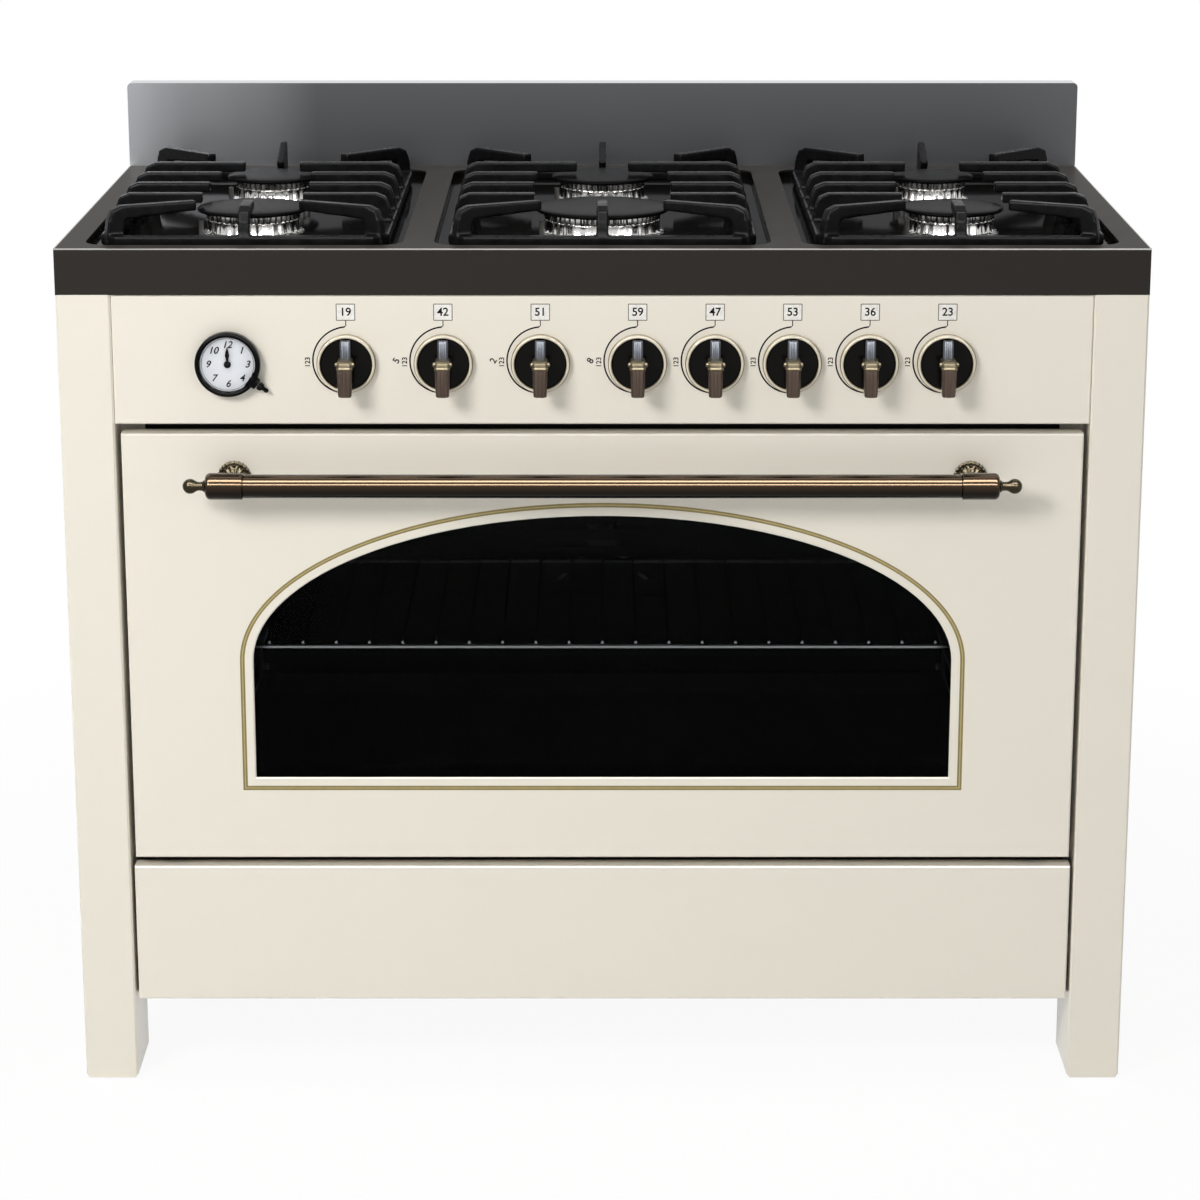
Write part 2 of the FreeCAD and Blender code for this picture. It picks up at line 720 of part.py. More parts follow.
def burner_cup(x, y, radius):
    """Round flange on the tray with a flat-sided mixing cup hanging through it."""
    centre = Vector(x, y, TRAY_FLOOR_Z)
    flange = ring_plate(centre, ALONG_Z, radius + CUP_RIM, FINE_SIDES, CUP_FLANGE)
    body = ring_plate(
        centre - ALONG_Z * CUP_DROP, ALONG_Z, cup_radius(radius), SIDES, CUP_DROP
    )
    hollow = ring_plate(
        centre - ALONG_Z * (CUP_DROP - CUP_WALL), ALONG_Z, cup_radius(radius) - CUP_WALL,
        SMALL_SIDES, CUP_DROP + CUP_FLANGE,
    )
    return joined([flange, body]).cut(hollow)


def burner_crown(x, y, radius):
    """Toothed ring: the gaps between its teeth are the flame ports under the cap."""
    count = round(2 * math.pi * radius / PORT_PITCH)
    pitch = 2 * math.pi / count
    gap = PORT_WIDTH / radius / 2
    corners = []
    for n in range(count):
        for turn, reach in (
            (gap, radius), (pitch - gap, radius),
            (pitch - gap, radius - PORT_DEPTH), (pitch + gap, radius - PORT_DEPTH),
        ):
            angle = n * pitch + turn
            corners.append(
                Vector(x + reach * math.cos(angle), y + reach * math.sin(angle), CROWN_Z)
            )
    bore = ring_plate(
        Vector(x, y, CROWN_Z), ALONG_Z, radius - CROWN_WALL, SIDES, CROWN_HEIGHT
    )
    return plate(outline(*corners), ALONG_Z * CROWN_HEIGHT).cut(bore)


def burner_cap(x, y, radius):
    """Disc with a sloping edge that covers the crown."""
    rim = radius + CAP_OVERLAP
    return spun(
        [(rim, 0), (rim - CAP_BEVEL, CAP_HEIGHT)], Vector(x, y, CAP_Z), ALONG_Z, FINE_SIDES
    )


def igniter(x, y, radius):
    turn = math.radians(IGNITER_ANGLE)
    reach = radius + IGNITER_GAP
    foot = Vector(x + reach * math.cos(turn), y + reach * math.sin(turn), TRAY_FLOOR_Z)
    return rod([foot, foot + ALONG_Z * IGNITER_HEIGHT], IGNITER_R, 6)


def burners():
    save("burner_cups", *[burner_cup(*burner) for burner in all_burners()])
    save("burner_crowns", *[burner_crown(*burner) for burner in all_burners()])
    save("burner_caps", *[burner_cap(*burner) for burner in all_burners()])
    save("igniters", *[igniter(*burner) for burner in all_burners()])


# ---- Pan supports ----------------------------------------------------------------------------
def finger(start, inward, reach, thickness=FINGER_THICKNESS):
    """Post that rises from the base ring and bends over into a tapered arm."""
    across = ALONG_Z.cross(inward)

    def at(along, z):
        return start + inward * along + ALONG_Z * (z - start.z) - across * (thickness / 2)

    top = FINGER_TOP_Z
    bend = FINGER_BEND * (1 - math.sqrt(0.5))
    wire = outline(
        at(0, start.z),
        at(FINGER_LEAN, top - FINGER_BEND),
        at(FINGER_LEAN + bend, top - bend),
        at(FINGER_LEAN + FINGER_BEND, top),
        at(reach, top),
        at(reach, top - FINGER_TIP),
        at(FINGER_POST + FINGER_LEAN, top - FINGER_ROOT),
        at(FINGER_POST, start.z),
    )
    return plate(wire, across * thickness)


def rear_blade(start, inward, reach):
    """Upright fin at the middle of the rear bar, highest over the bar."""
    across = ALONG_Z.cross(inward)

    def at(along, z):
        return start + inward * along + ALONG_Z * (z - start.z) - across * (BLADE_THICKNESS / 2)

    top = FINGER_TOP_Z + BLADE_RISE
    wire = outline(
        at(0, start.z),
        at(FINGER_LEAN, top),
        at(2 * FINGER_LEAN, top),
        at(reach, FINGER_TOP_Z - BLADE_DROP),
        at(reach - FINGER_LEAN, FINGER_TOP_Z - BLADE_TOE),
        at(FINGER_POST, start.z),
    )
    return plate(wire, across * BLADE_THICKNESS)


def pan_support(n):
    """One casting: a base ring on four feet with fingers round both burners."""
    half = TRAY_WIDTHS[n] / 2 - GRATE_INSET
    middle = TRAY_CENTRES[n]
    front = behind(TRAY_FRONT + GRATE_INSET)
    rear = front + GRATE_DEPTH
    x0, x1 = middle - half, middle + half
    top = GRATE_Z + GRATE_BAR_HEIGHT
    bar = GRATE_BAR_WIDTH
    ring = bevelled_box(x0, x1, front, rear, GRATE_Z, top, GRATE_CORNER, ALONG_Z).cut(
        bevelled_box(
            x0 + bar, x1 - bar, front + bar, rear - bar, GRATE_Z, top,
            GRATE_CORNER - bar / 2, ALONG_Z,
        )
    )
    pieces = [ring]
    row_pitch = BURNER_PITCH / (FINGER_ROWS - 1)
    for side in (-1, 1):
        inward = Vector(-side, 0, 0)
        edge = middle + side * half
        for row in range(FINGER_ROWS):
            y = behind(FRONT_BURNER_DEPTH + row * row_pitch)
            pieces.append(finger(Vector(edge, y, GRATE_Z), inward, half - FINGER_TIP_GAPS[n][row]))
        for y, angle in (
            (front + GRATE_CORNER_POST, FRONT_CORNER_ANGLE),
            (rear - GRATE_CORNER_POST, -REAR_CORNER_ANGLE),
        ):
            turn = math.radians(angle)
            aim = Vector(-side * math.cos(turn), math.sin(turn), 0)
            start = Vector(edge - side * FINGER_LEAN, y, GRATE_Z)
            pieces.append(finger(start, aim, CORNER_FINGER_REACH))
        for y in (front + 2 * GRATE_CORNER, rear - 2 * GRATE_CORNER):
            foot = Vector(edge - side * bar / 2, y, TRAY_FLOOR_Z)
            pieces.append(ring_plate(foot, ALONG_Z, GRATE_FOOT_R, 4, GRATE_FOOT_HEIGHT))
    pieces.append(finger(Vector(middle, front, GRATE_Z), ALONG_Y, MIDDLE_FINGER_REACH))
    pieces.append(rear_blade(Vector(middle, rear, GRATE_Z), ALONG_Y * -1, MIDDLE_FINGER_REACH))
    return joined(pieces)


def pan_supports():
    for n, place in enumerate(("left", "centre", "right")):
        save("grate_" + place, pan_support(n))


# ---- Control panel ---------------------------------------------------------------------------
def control_panel():
    half = OPENING_HALF - CONTROL_SIDE_GAP
    back = CONTROL_Y + CONTROL_RETURN
    pan = box(-half, half, CONTROL_Y, back, CONTROL_BOTTOM_Z, BAND_Z)
    pan = pan.makeChamfer(FACE_CHAMFER, edges_at_y(pan, CONTROL_Y))
    hollow = box(
        -half + SHEET, half - SHEET, CONTROL_Y + SHEET + FACE_CHAMFER, back,
        CONTROL_BOTTOM_Z + SHEET, BAND_Z - SHEET,
    )
    holes = [
        ring_plate(Vector(x, CONTROL_Y, KNOB_Z), ALONG_Y, SHAFT_HOLE_R, SMALL_SIDES, CONTROL_RETURN)
        for x in KNOB_XS
    ]
    holes.append(ring_plate(
        Vector(CLOCK_X, CONTROL_Y, KNOB_Z), ALONG_Y, CLOCK_BODY_R, SIDES, CONTROL_RETURN
    ))
    save("control_panel", pan.cut([hollow] + holes))


def knob_bezel(x):
    """Raised ring round a sunk disc that the spindle passes through."""
    front = ALONG_Y * -1
    base = Vector(x, CONTROL_Y, KNOB_Z)
    ring = ring_plate(base, front, BEZEL_R, FINE_SIDES, BEZEL_HEIGHT)
    recess = ring_plate(base + front * BEZEL_FLOOR, front, BEZEL_INNER_R, FINE_SIDES, BEZEL_HEIGHT)
    hole = ring_plate(base, front, SHAFT_HOLE_R, SMALL_SIDES, BEZEL_FLOOR)
    return ring.cut([recess, hole])


def clock_case():
    """Round case through the panel, with a sunk dial, an arbor and the setter's boss."""
    front = ALONG_Y * -1
    base = Vector(CLOCK_X, CONTROL_Y, KNOB_Z)
    inner = CLOCK_R - CLOCK_LIP
    rim = ring_plate(base, front, CLOCK_R, FINE_SIDES, CLOCK_HEIGHT)
    body = ring_plate(base, ALONG_Y, CLOCK_BODY_R, SIDES, CLOCK_BODY_LENGTH)
    axis = setter_axis()
    centre = setter_centre()
    boss = rod([centre + axis * inner, centre + axis * SETTER_BOSS_REACH], CLOCK_HEIGHT / 2)
    well = ring_plate(base + front * CLOCK_DIAL_DEPTH, front, inner, FINE_SIDES, CLOCK_HEIGHT)
    arbor = cylinder(
        ARBOR_R, base + front * CLOCK_DIAL_DEPTH,
        base + front * (CLOCK_DIAL_DEPTH + ARBOR_LENGTH),
    )
    socket = rod([
        centre + axis * (SETTER_BOSS_REACH - SETTER_SOCKET), centre + axis * SETTER_REACH
    ], (SETTER_STEM_R + SPINDLE_FIT) / math.cos(math.pi / SMALL_SIDES), SMALL_SIDES)
    return joined([joined([rim, body, boss]).cut(well), arbor]).cut(socket)


def setter_axis():
    turn = math.radians(SETTER_ANGLE)
    return Vector(math.cos(turn), 0, math.sin(turn))


def setter_centre():
    return Vector(CLOCK_X, CONTROL_Y - CLOCK_HEIGHT / 2, KNOB_Z)


def bezels():
    save("bezels", *[knob_bezel(x) for x in KNOB_XS], clock_case())


def clock_glass():
    y = CONTROL_Y - CLOCK_HEIGHT
    save("clock_glass", ring_plate(
        Vector(CLOCK_X, y, KNOB_Z), ALONG_Y, CLOCK_R - CLOCK_LIP, FINE_SIDES, CLOCK_GLASS
    ))


def clock_hand():
    """Leaf-shaped hand on a hub that turns on the clock's arbor."""
    y = DIAL_FACE_Y - HAND_LIFT

    def at(x, z):
        return Vector(CLOCK_X + x, y, KNOB_Z + z)

    push = ALONG_Y * -HAND_THICKNESS
    leaf = plate(outline(
        at(-HAND_WIDTH / 4, 0), at(-HAND_WIDTH / 2, HAND_LENGTH / 2), at(0, HAND_LENGTH),
        at(HAND_WIDTH / 2, HAND_LENGTH / 2), at(HAND_WIDTH / 4, 0),
    ), push)
    hub = plate(outline(*ring_of_points(at(0, 0), ALONG_Y, HAND_HUB_R, SMALL_SIDES)), push)
    bore = ring_plate(
        at(0, 0), ALONG_Y * -1, (ARBOR_R + SPINDLE_FIT) / math.cos(math.pi / SMALL_SIDES),
        SMALL_SIDES, HAND_THICKNESS,
    )
    save("clock_hand", joined([leaf, hub]).cut(bore))


def clock_setter():
    """Fluted crown on a stem that points down to the right from the clock's rim."""
    axis = setter_axis()
    centre = setter_centre()
    stem = cylinder(
        SETTER_STEM_R,
        centre + axis * (SETTER_BOSS_REACH - SETTER_SOCKET + SPINDLE_FIT),
        centre + axis * (SETTER_BOSS_REACH + SETTER_CROWN_GAP),
    )
    base = centre + axis * (SETTER_BOSS_REACH + SETTER_CROWN_GAP)
    length = SETTER_REACH - SETTER_BOSS_REACH - SETTER_CROWN_GAP
    crown = spun([(SETTER_CROWN_R, 0), (SETTER_TIP_R, length)], base, axis, SMALL_SIDES)
    save("clock_setter", joined([stem, crown]))


def lever_knob(x):
    """Lever, collar with a cross pin, and a ridged pointer."""
    def at(across, proud, up):
        return Vector(x + across, CONTROL_Y - proud, KNOB_Z + up)

    def tapered_bar(width, up, back, bevel):
        """Bevelled section across the lever at one height."""
        half = width / 2
        return [
            at(-half, back, up), at(half, back, up),
            at(half, LEVER_FRONT - bevel, up), at(half - bevel, LEVER_FRONT, up),
            at(bevel - half, LEVER_FRONT, up), at(-half, LEVER_FRONT - bevel, up),
        ]

    lever_back = LEVER_FRONT - LEVER_THICKNESS
    lever = banded(
        tapered_bar(LEVER_WIDTH, 0, lever_back, LEVER_BEVEL),
        tapered_bar(LEVER_TIP_WIDTH, -LEVER_LENGTH, lever_back, LEVER_BEVEL),
    )
    collar = banded(
        tapered_bar(COLLAR_WIDTH, -COLLAR_HEIGHT / 2, LEVER_GAP, COLLAR_BEVEL),
        tapered_bar(COLLAR_WIDTH - COLLAR_BEVEL, COLLAR_HEIGHT / 2, LEVER_GAP, COLLAR_BEVEL),
    )
    half = POINTER_WIDTH / 2
    pointer_front = LEVER_GAP + POINTER_THICKNESS
    pointer = plate(outline(
        at(-half, LEVER_GAP, 0), at(half, LEVER_GAP, 0),
        at(half, pointer_front - POINTER_RIDGE, 0), at(0, pointer_front, 0),
        at(-half, pointer_front - POINTER_RIDGE, 0),
    ), ALONG_Z * POINTER_LENGTH)
    reach = COLLAR_WIDTH / 2 + NUB_LENGTH
    nubs = rod([at(-reach, lever_back, 0), at(reach, lever_back, 0)], NUB_R, 8)
    return joined([lever, collar, pointer, nubs])


def spindle(x, inner_y):
    """Shaft with flats that ends against the back of the knob's collar."""
    return rod([
        Vector(x, inner_y, KNOB_Z), Vector(x, CONTROL_Y - LEVER_GAP, KNOB_Z)
    ], SPINDLE_R)


def knobs():
    tap_bore_end = behind(TAP_FRONT + TAP_BORE)
    for n, x in enumerate(KNOB_XS):
        save("knob_%d" % (n + 1), lever_knob(x))
        if n >= OVEN_KNOBS:
            inner = tap_bore_end - SPINDLE_TRAVEL - SPINDLE_FIT
            save("tap_spindle_%d" % (n + 1 - OVEN_KNOBS), spindle(x, inner))


# ---- Gas rail and controls behind the panel --------------------------------------------------
def inlet_x():
    return OPENING_HALF - RAIL_END_INSET


def gas_tap(x):
    y0 = behind(TAP_FRONT)
    body = box(
        x - TAP_WIDTH / 2, x + TAP_WIDTH / 2, y0, y0 + TAP_LENGTH,
        KNOB_Z - TAP_HEIGHT / 2, KNOB_Z + TAP_HEIGHT / 2,
    )
    body = body.makeChamfer(TAP_BEVEL, edges_along(body, ALONG_Y))
    bore = ring_plate(
        Vector(x, y0, KNOB_Z), ALONG_Y, SPINDLE_R + SPINDLE_FIT, SMALL_SIDES, TAP_BORE
    )
    return body.cut(bore)


def burner_pipe(tap_x, burner, level):
    """Pipe up from a tap, across at its own level and up into the burner's cup."""
    x, y, _ = burner
    tap_y = behind(TAP_FRONT + TAP_LENGTH / 2)
    z = KNOB_Z + TAP_HEIGHT / 2 + PIPE_FIRST_RISE + level * PIPE_LEVEL_STEP
    cup_z = TRAY_FLOOR_Z - CUP_DROP
    return rod([
        Vector(tap_x, tap_y, KNOB_Z + TAP_HEIGHT / 2), Vector(tap_x, tap_y, z),
        Vector(x, y, z), Vector(x, y, max(cup_z, z + 2 * PIPE_R)),
    ], PIPE_R, 6)


def gas_rail():
    """Square manifold along the taps, round to the threaded inlet at the back."""
    z0, z1 = KNOB_Z - RAIL_SIZE / 2, KNOB_Z + RAIL_SIZE / 2
    gas_xs = KNOB_XS[OVEN_KNOBS:]
    end = inlet_x()
    stub_y = BACK_PANEL_Y - SHEET
    manifold = joined([
        box(gas_xs[0] - TAP_WIDTH, end + RAIL_SIZE / 2, RAIL_Y, RAIL_Y + RAIL_SIZE, z0, z1),
        box(end - RAIL_SIZE / 2, end + RAIL_SIZE / 2, RAIL_Y, stub_y, z0, z1),
        cylinder(INLET_R, Vector(end, stub_y, KNOB_Z), Vector(end, stub_y + INLET_LENGTH, KNOB_Z)),
    ])
    taps = [gas_tap(x) for x in gas_xs]
    pipes = [
        burner_pipe(x, burner, level)
        for level, (x, burner) in enumerate(zip(gas_xs, all_burners()))
    ]
    save("gas_rail", manifold, *taps, *pipes)


def oven_controls():
    """Selector switch and thermostat, each with its shaft."""
    solids = []
    for x in KNOB_XS[:OVEN_KNOBS]:
        y0 = behind(TAP_FRONT)
        block = box(
            x - CONTROL_BLOCK / 2, x + CONTROL_BLOCK / 2, y0, y0 + CONTROL_BLOCK_LENGTH,
            KNOB_Z - CONTROL_BLOCK / 2, KNOB_Z + CONTROL_BLOCK / 2,
        )
        solids.append(joined([block, spindle(x, y0)]))
    save("oven_controls", *solids)


# ---- Oven ------------------------------------------------------------------------------------
def cavity_box(grow, y0, y1):
    """Box with cut corners, larger than the cavity by this much on its four sides."""
    return bevelled_box(
        -CAVITY_HALF - grow, CAVITY_HALF + grow, y0, y1,
        CAVITY_FLOOR_Z - grow, CAVITY_ROOF_Z + grow, CAVITY_CORNER + grow / 2, ALONG_Y,
    )


def oven_cavity():
    shell = cavity_box(SHEET, CAVITY_FRONT_Y, CAVITY_BACK_Y + SHEET)
    shell = shell.cut(cavity_box(0, CAVITY_FRONT_Y, CAVITY_BACK_Y))
    hole = ring_plate(
        Vector(0, CAVITY_BACK_Y, CAVITY_MID_Z), ALONG_Y, FAN_SHAFT_HOLE_R, SMALL_SIDES, SHEET
    )
    save("oven_cavity", shell.cut(hole))


def oven_front_frame():
    """Plate round the cavity's mouth with a stop strip along each post, slotted for the hinges."""
    top = CONTROL_BOTTOM_Z + FRAME_DROP
    bottom = DRAWER_TOP_Z + FRAME_SHEET
    frame = box(-OPENING_HALF, OPENING_HALF, FRAME_Y, CAVITY_FRONT_Y, bottom, top)
    stop = box(
        OPENING_HALF - DOOR_STOP_WIDTH, OPENING_HALF, FRAME_Y - SHEET, FRAME_Y,
        bottom, CONTROL_BOTTOM_Z,
    )
    reach = HINGE_ARM_WIDTH / 2 + HINGE_NOTCH_GAP / 2
    slot = box(
        HINGE_X - reach, HINGE_X + reach, FRAME_Y, CAVITY_FRONT_Y,
        HINGE_Z - HINGE_KNUCKLE_R, HINGE_Z + HINGE_KNUCKLE_R,
    )
    mouth = cavity_box(0, FRAME_Y, CAVITY_FRONT_Y)
    save("oven_front_frame", joined([frame] + mirrored(stop)).cut([mouth] + mirrored(slot)))


def door_seal():
    y0 = DOOR_BACK_Y + SEAL_GAP
    ring = cavity_box(SEAL_OFFSET + SEAL_WIDTH, y0, FRAME_Y)
    save("door_seal", ring.cut(cavity_box(SEAL_OFFSET, y0, FRAME_Y)))


def insulation():
    """Mineral wool jacket, with room for the lower element under the cavity."""
    inner = SHEET + INSULATION_GAP
    outer = inner + INSULATION_THICKNESS
    jacket = box(
        -CAVITY_HALF - outer, CAVITY_HALF + outer, CAVITY_FRONT_Y, INSULATION_BACK_Y,
        CAVITY_FLOOR_Z - outer, CAVITY_ROOF_Z + outer,
    )
    room = box(
        -CAVITY_HALF - inner, CAVITY_HALF + inner, CAVITY_FRONT_Y,
        CAVITY_BACK_Y + inner, CAVITY_FLOOR_Z - inner, CAVITY_ROOF_Z + inner,
    )
    shaft = ring_plate(
        Vector(0, CAVITY_BACK_Y, CAVITY_MID_Z), ALONG_Y, FAN_SHAFT_HOLE_R, SMALL_SIDES,
        INSULATION_BACK_Y - CAVITY_BACK_Y,
    )
    save("insulation", jacket.cut([room, shaft]))


def heating_elements():
    """Folded grill element under the roof and a loop under the floor."""
    z = CAVITY_ROOF_Z - GRILL_DROP
    half = CAVITY_HALF - GRILL_SIDE_MARGIN
    points = []
    for n in range(GRILL_RUNS):
        y = CAVITY_FRONT_Y + GRILL_FRONT_MARGIN + n * GRILL_RUN_PITCH
        ends = [Vector(-half, y, z), Vector(half, y, z)]
        points += ends if n % 2 == 0 else ends[::-1]
    points.append(Vector(-half, CAVITY_BACK_Y - ELEMENT_PLATE, z))
    plate_half = 3 * ELEMENT_R
    clip = box(
        -half - plate_half, -half + plate_half, CAVITY_BACK_Y - ELEMENT_PLATE, CAVITY_BACK_Y,
        z - plate_half, z + plate_half,
    )
    grill = joined([rod(points, ELEMENT_R, 6), clip])
    low_z = CAVITY_FLOOR_Z - SHEET - INSULATION_GAP / 2
    low_half = CAVITY_HALF - FLOOR_LOOP_MARGIN
    low_front = CAVITY_FRONT_Y + FLOOR_LOOP_MARGIN
    low_back = CAVITY_BACK_Y
    loop = rod([
        Vector(-low_half, low_back, low_z), Vector(-low_half, low_front, low_z),
        Vector(low_half, low_front, low_z), Vector(low_half, low_back, low_z),
    ], ELEMENT_R, 6)
    save("heating_elements", grill, loop)


def fan_blade():
    """Impeller of bent blades on a hub, with the motor's shaft behind it."""
    y1 = CAVITY_BACK_Y - FAN_WALL_GAP
    y0 = y1 - FAN_BLADE_WIDTH
    centre = Vector(0, 0, CAVITY_MID_Z)
    hub = ring_plate(centre + ALONG_Y * y0, ALONG_Y, FAN_HUB_R, SMALL_SIDES, FAN_BLADE_WIDTH)
    blade = box(
        FAN_HUB_R - FAN_BLADE_ROOT, FAN_R, y0, y1,
        CAVITY_MID_Z - FAN_BLADE_SHEET / 2, CAVITY_MID_Z + FAN_BLADE_SHEET / 2,
    )
    blades = [blade.rotated(centre, ALONG_Y, 360 * n / FAN_BLADES) for n in range(FAN_BLADES)]
    shaft = cylinder(
        FAN_SHAFT_R, centre + ALONG_Y * y1,
        centre + ALONG_Y * (INSULATION_BACK_Y + MOTOR_LENGTH / 2),
    )
    save("fan_blade", joined([hub, shaft] + blades))


def fan_motor():
    start = Vector(0, INSULATION_BACK_Y, CAVITY_MID_Z)
    body = ring_plate(start, ALONG_Y, MOTOR_R, SIDES, MOTOR_LENGTH)
    bore = ring_plate(
        start, ALONG_Y, (FAN_SHAFT_R + SPINDLE_FIT) / math.cos(math.pi / SMALL_SIDES),
        SMALL_SIDES, MOTOR_LENGTH / 2 + SPINDLE_FIT,
    )
    save("fan_motor", body.cut(bore))


def fan_cover():
    """Square pan over the fan, slotted across the middle and open behind."""
    half = FAN_COVER_SIZE / 2
    y0 = CAVITY_BACK_Y - FAN_COVER_DEPTH
    z0, z1 = CAVITY_MID_Z - half, CAVITY_MID_Z + half
    pan = box(-half, half, y0, CAVITY_BACK_Y, z0, z1)
    hollow = box(
        -half + SHEET, half - SHEET, y0 + SHEET, CAVITY_BACK_Y, z0 + SHEET, z1 - SHEET
    )
    slots = []
    for n in range(FAN_COVER_SLOTS):
        z = CAVITY_MID_Z + (n - (FAN_COVER_SLOTS - 1) / 2) * FAN_COVER_SLOT_PITCH
        slots.append(box(
            -FAN_R, FAN_R, y0, y0 + SHEET,
            z - FAN_COVER_SLOT_WIDTH / 2, z + FAN_COVER_SLOT_WIDTH / 2,
        ))
    save("fan_cover", pan.cut([hollow] + slots))


def rack_runners():
    """Wire ladder on each side wall."""
    front = CAVITY_FRONT_Y + RUNNER_FRONT_MARGIN
    rear = CAVITY_BACK_Y - RUNNER_REAR_MARGIN
    inset = 4 * RUNNER_WIRE_R
    bars = []
    for level in range(RUNNER_LEVELS):
        z = CAVITY_FLOOR_Z + RUNNER_FIRST + level * RUNNER_PITCH
        bars.append(box(
            RUNNER_X - RUNNER_WIRE_R, RUNNER_X + RUNNER_WIRE_R, front, rear,
            z - RUNNER_WIRE_R, z + RUNNER_WIRE_R,
        ))
    top = CAVITY_FLOOR_Z + RUNNER_FIRST + (RUNNER_LEVELS - 1) * RUNNER_PITCH + inset
    for y in (front + inset, rear - inset):
        bars.append(box(
            RUNNER_X + RUNNER_WIRE_R, CAVITY_HALF, y - RUNNER_WIRE_R, y + RUNNER_WIRE_R,
            CAVITY_FLOOR_Z + RUNNER_FIRST - inset, top,
        ))
    save("rack_runners", *mirrored(joined(bars)))


def rack_half():
    """Half the width of what slides between the upright wires of the two ladders."""
    return RUNNER_X + RUNNER_WIRE_R - RACK_SIDE_GAP


def oven_rack():
    """Wire shelf: a bar frame with thinner wires welded across it."""
    half = rack_half() - RACK_BAR_R
    z = RACK_SEAT_Z + SEAT_GAP + RACK_BAR_R
    y0 = CAVITY_FRONT_Y + RUNNER_FRONT_MARGIN
    y1 = CAVITY_BACK_Y - RACK_REAR_SPACE
    corners = [
        Vector(-half, y0, z), Vector(half, y0, z), Vector(half, y1, z), Vector(-half, y1, z)
    ]
    pieces = [
        rod([corners[n], corners[m]], RACK_BAR_R) for n, m in ((0, 1), (3, 2), (0, 3), (1, 2))
    ]
    count = int((half - 2 * RACK_BAR_R) / RACK_WIRE_PITCH)
    wire_z = z + RACK_BAR_R + RACK_WIRE_R - RACK_WELD
    for n in range(-count, count + 1):
        x = n * RACK_WIRE_PITCH
        pieces.append(rod([Vector(x, y0, wire_z), Vector(x, y1, wire_z)], RACK_WIRE_R, 4))
    save("oven_rack", joined(pieces))


def baking_tray():
    """Shallow pressed tray whose rim rests on the lowest runners."""
    half = rack_half()
    seat = CAVITY_FLOOR_Z + RUNNER_FIRST + RUNNER_WIRE_R + SEAT_GAP
    y0 = CAVITY_FRONT_Y + RUNNER_FRONT_MARGIN
    y1 = CAVITY_BACK_Y - RACK_REAR_SPACE
    inner = half - TRAY_PAN_RIM
    bottom = seat - TRAY_PAN_HEIGHT
    rim = box(-half, half, y0, y1, seat, seat + TRAY_PAN_SHEET)
    dish = box(
        -inner, inner, y0 + TRAY_PAN_RIM, y1 - TRAY_PAN_RIM, bottom, seat + TRAY_PAN_SHEET
    )
    hollow = box(
        -inner + TRAY_PAN_SHEET, inner - TRAY_PAN_SHEET,
        y0 + TRAY_PAN_RIM + TRAY_PAN_SHEET, y1 - TRAY_PAN_RIM - TRAY_PAN_SHEET,
        bottom + TRAY_PAN_SHEET, seat + TRAY_PAN_SHEET,
    )
    save("baking_tray", joined([rim, dish]).cut(hollow))


# ---- Oven door -------------------------------------------------------------------------------
def arched_window(grow, y):
    """Outline of the window, larger by this much: square below, a half ellipse above."""
    half = DOOR_HALF - WINDOW_SIDE_MARGIN + grow
    bottom = DOOR_BOTTOM_Z + WINDOW_BOTTOM_MARGIN - grow
    spring = DOOR_TOP_Z - WINDOW_TOP_MARGIN - WINDOW_ARCH_RISE
    crown = spring + WINDOW_ARCH_RISE + grow
    centre = Vector(0, y, spring)
    arch = Part.Ellipse(Vector(half, y, spring), Vector(0, y, crown), centre)
    edge = Part.Arc(arch, 0, math.pi).toShape()
    right, left = Vector(half, y, spring), Vector(-half, y, spring)
    return Part.Wire([
        Part.makeLine(Vector(-half, y, bottom), Vector(half, y, bottom)),
        Part.makeLine(Vector(half, y, bottom), right),
        edge,
        Part.makeLine(left, Vector(-half, y, bottom)),
    ])


def hinge_notch():
    """Room for one hinge arm, open at the back and the bottom of the door."""
    reach = hinge_half() + HINGE_CHEEK + HINGE_NOTCH_GAP / 2
    return box(
        HINGE_X - reach, HINGE_X + reach, HINGE_Y - HINGE_KNUCKLE_R - HINGE_NOTCH_GAP, FRAME_Y,
        DOOR_BOTTOM_Z, HINGE_Z + HINGE_KNUCKLE_R + HINGE_NOTCH_GAP,
    )


def hinge_half():
    """Half the space between the two cheeks of a hinge arm."""
    return HINGE_ARM_WIDTH / 2 + HINGE_CHEEK_GAP / 2


def door_outer_panel():
    """Pressed front with a bevelled arched window and a fine line sunk round it."""
    back = FRONT_Y + DOOR_PAN_DEPTH
    pan = box(-DOOR_HALF, DOOR_HALF, FRONT_Y, back, DOOR_BOTTOM_Z, DOOR_TOP_Z)
    pan = pan.makeChamfer(FACE_CHAMFER, edges_at_y(pan, FRONT_Y))
    wall = DOOR_SKIN + FACE_CHAMFER
    hollow = box(
        -DOOR_HALF + wall, DOOR_HALF - wall, FRONT_Y + DOOR_SKIN, back,
        DOOR_BOTTOM_Z + wall, DOOR_TOP_Z - wall,
    )
    window = plate(arched_window(0, FRONT_Y), ALONG_Y * DOOR_SKIN)
    bevel = Part.makeLoft(
        [arched_window(WINDOW_BEVEL, FRONT_Y), arched_window(0, FRONT_Y + WINDOW_BEVEL)],
        True, True,
    )
    groove = plate(arched_window(STRIPE_GAP + STRIPE_WIDTH, FRONT_Y), ALONG_Y * STRIPE_DEPTH)
    groove = groove.cut(plate(arched_window(STRIPE_GAP, FRONT_Y), ALONG_Y * STRIPE_DEPTH))
    panel = pan.cut([hollow, window]).cut(bevel).cut(groove)
    save("door_outer_panel", panel.cut(mirrored(hinge_notch())))


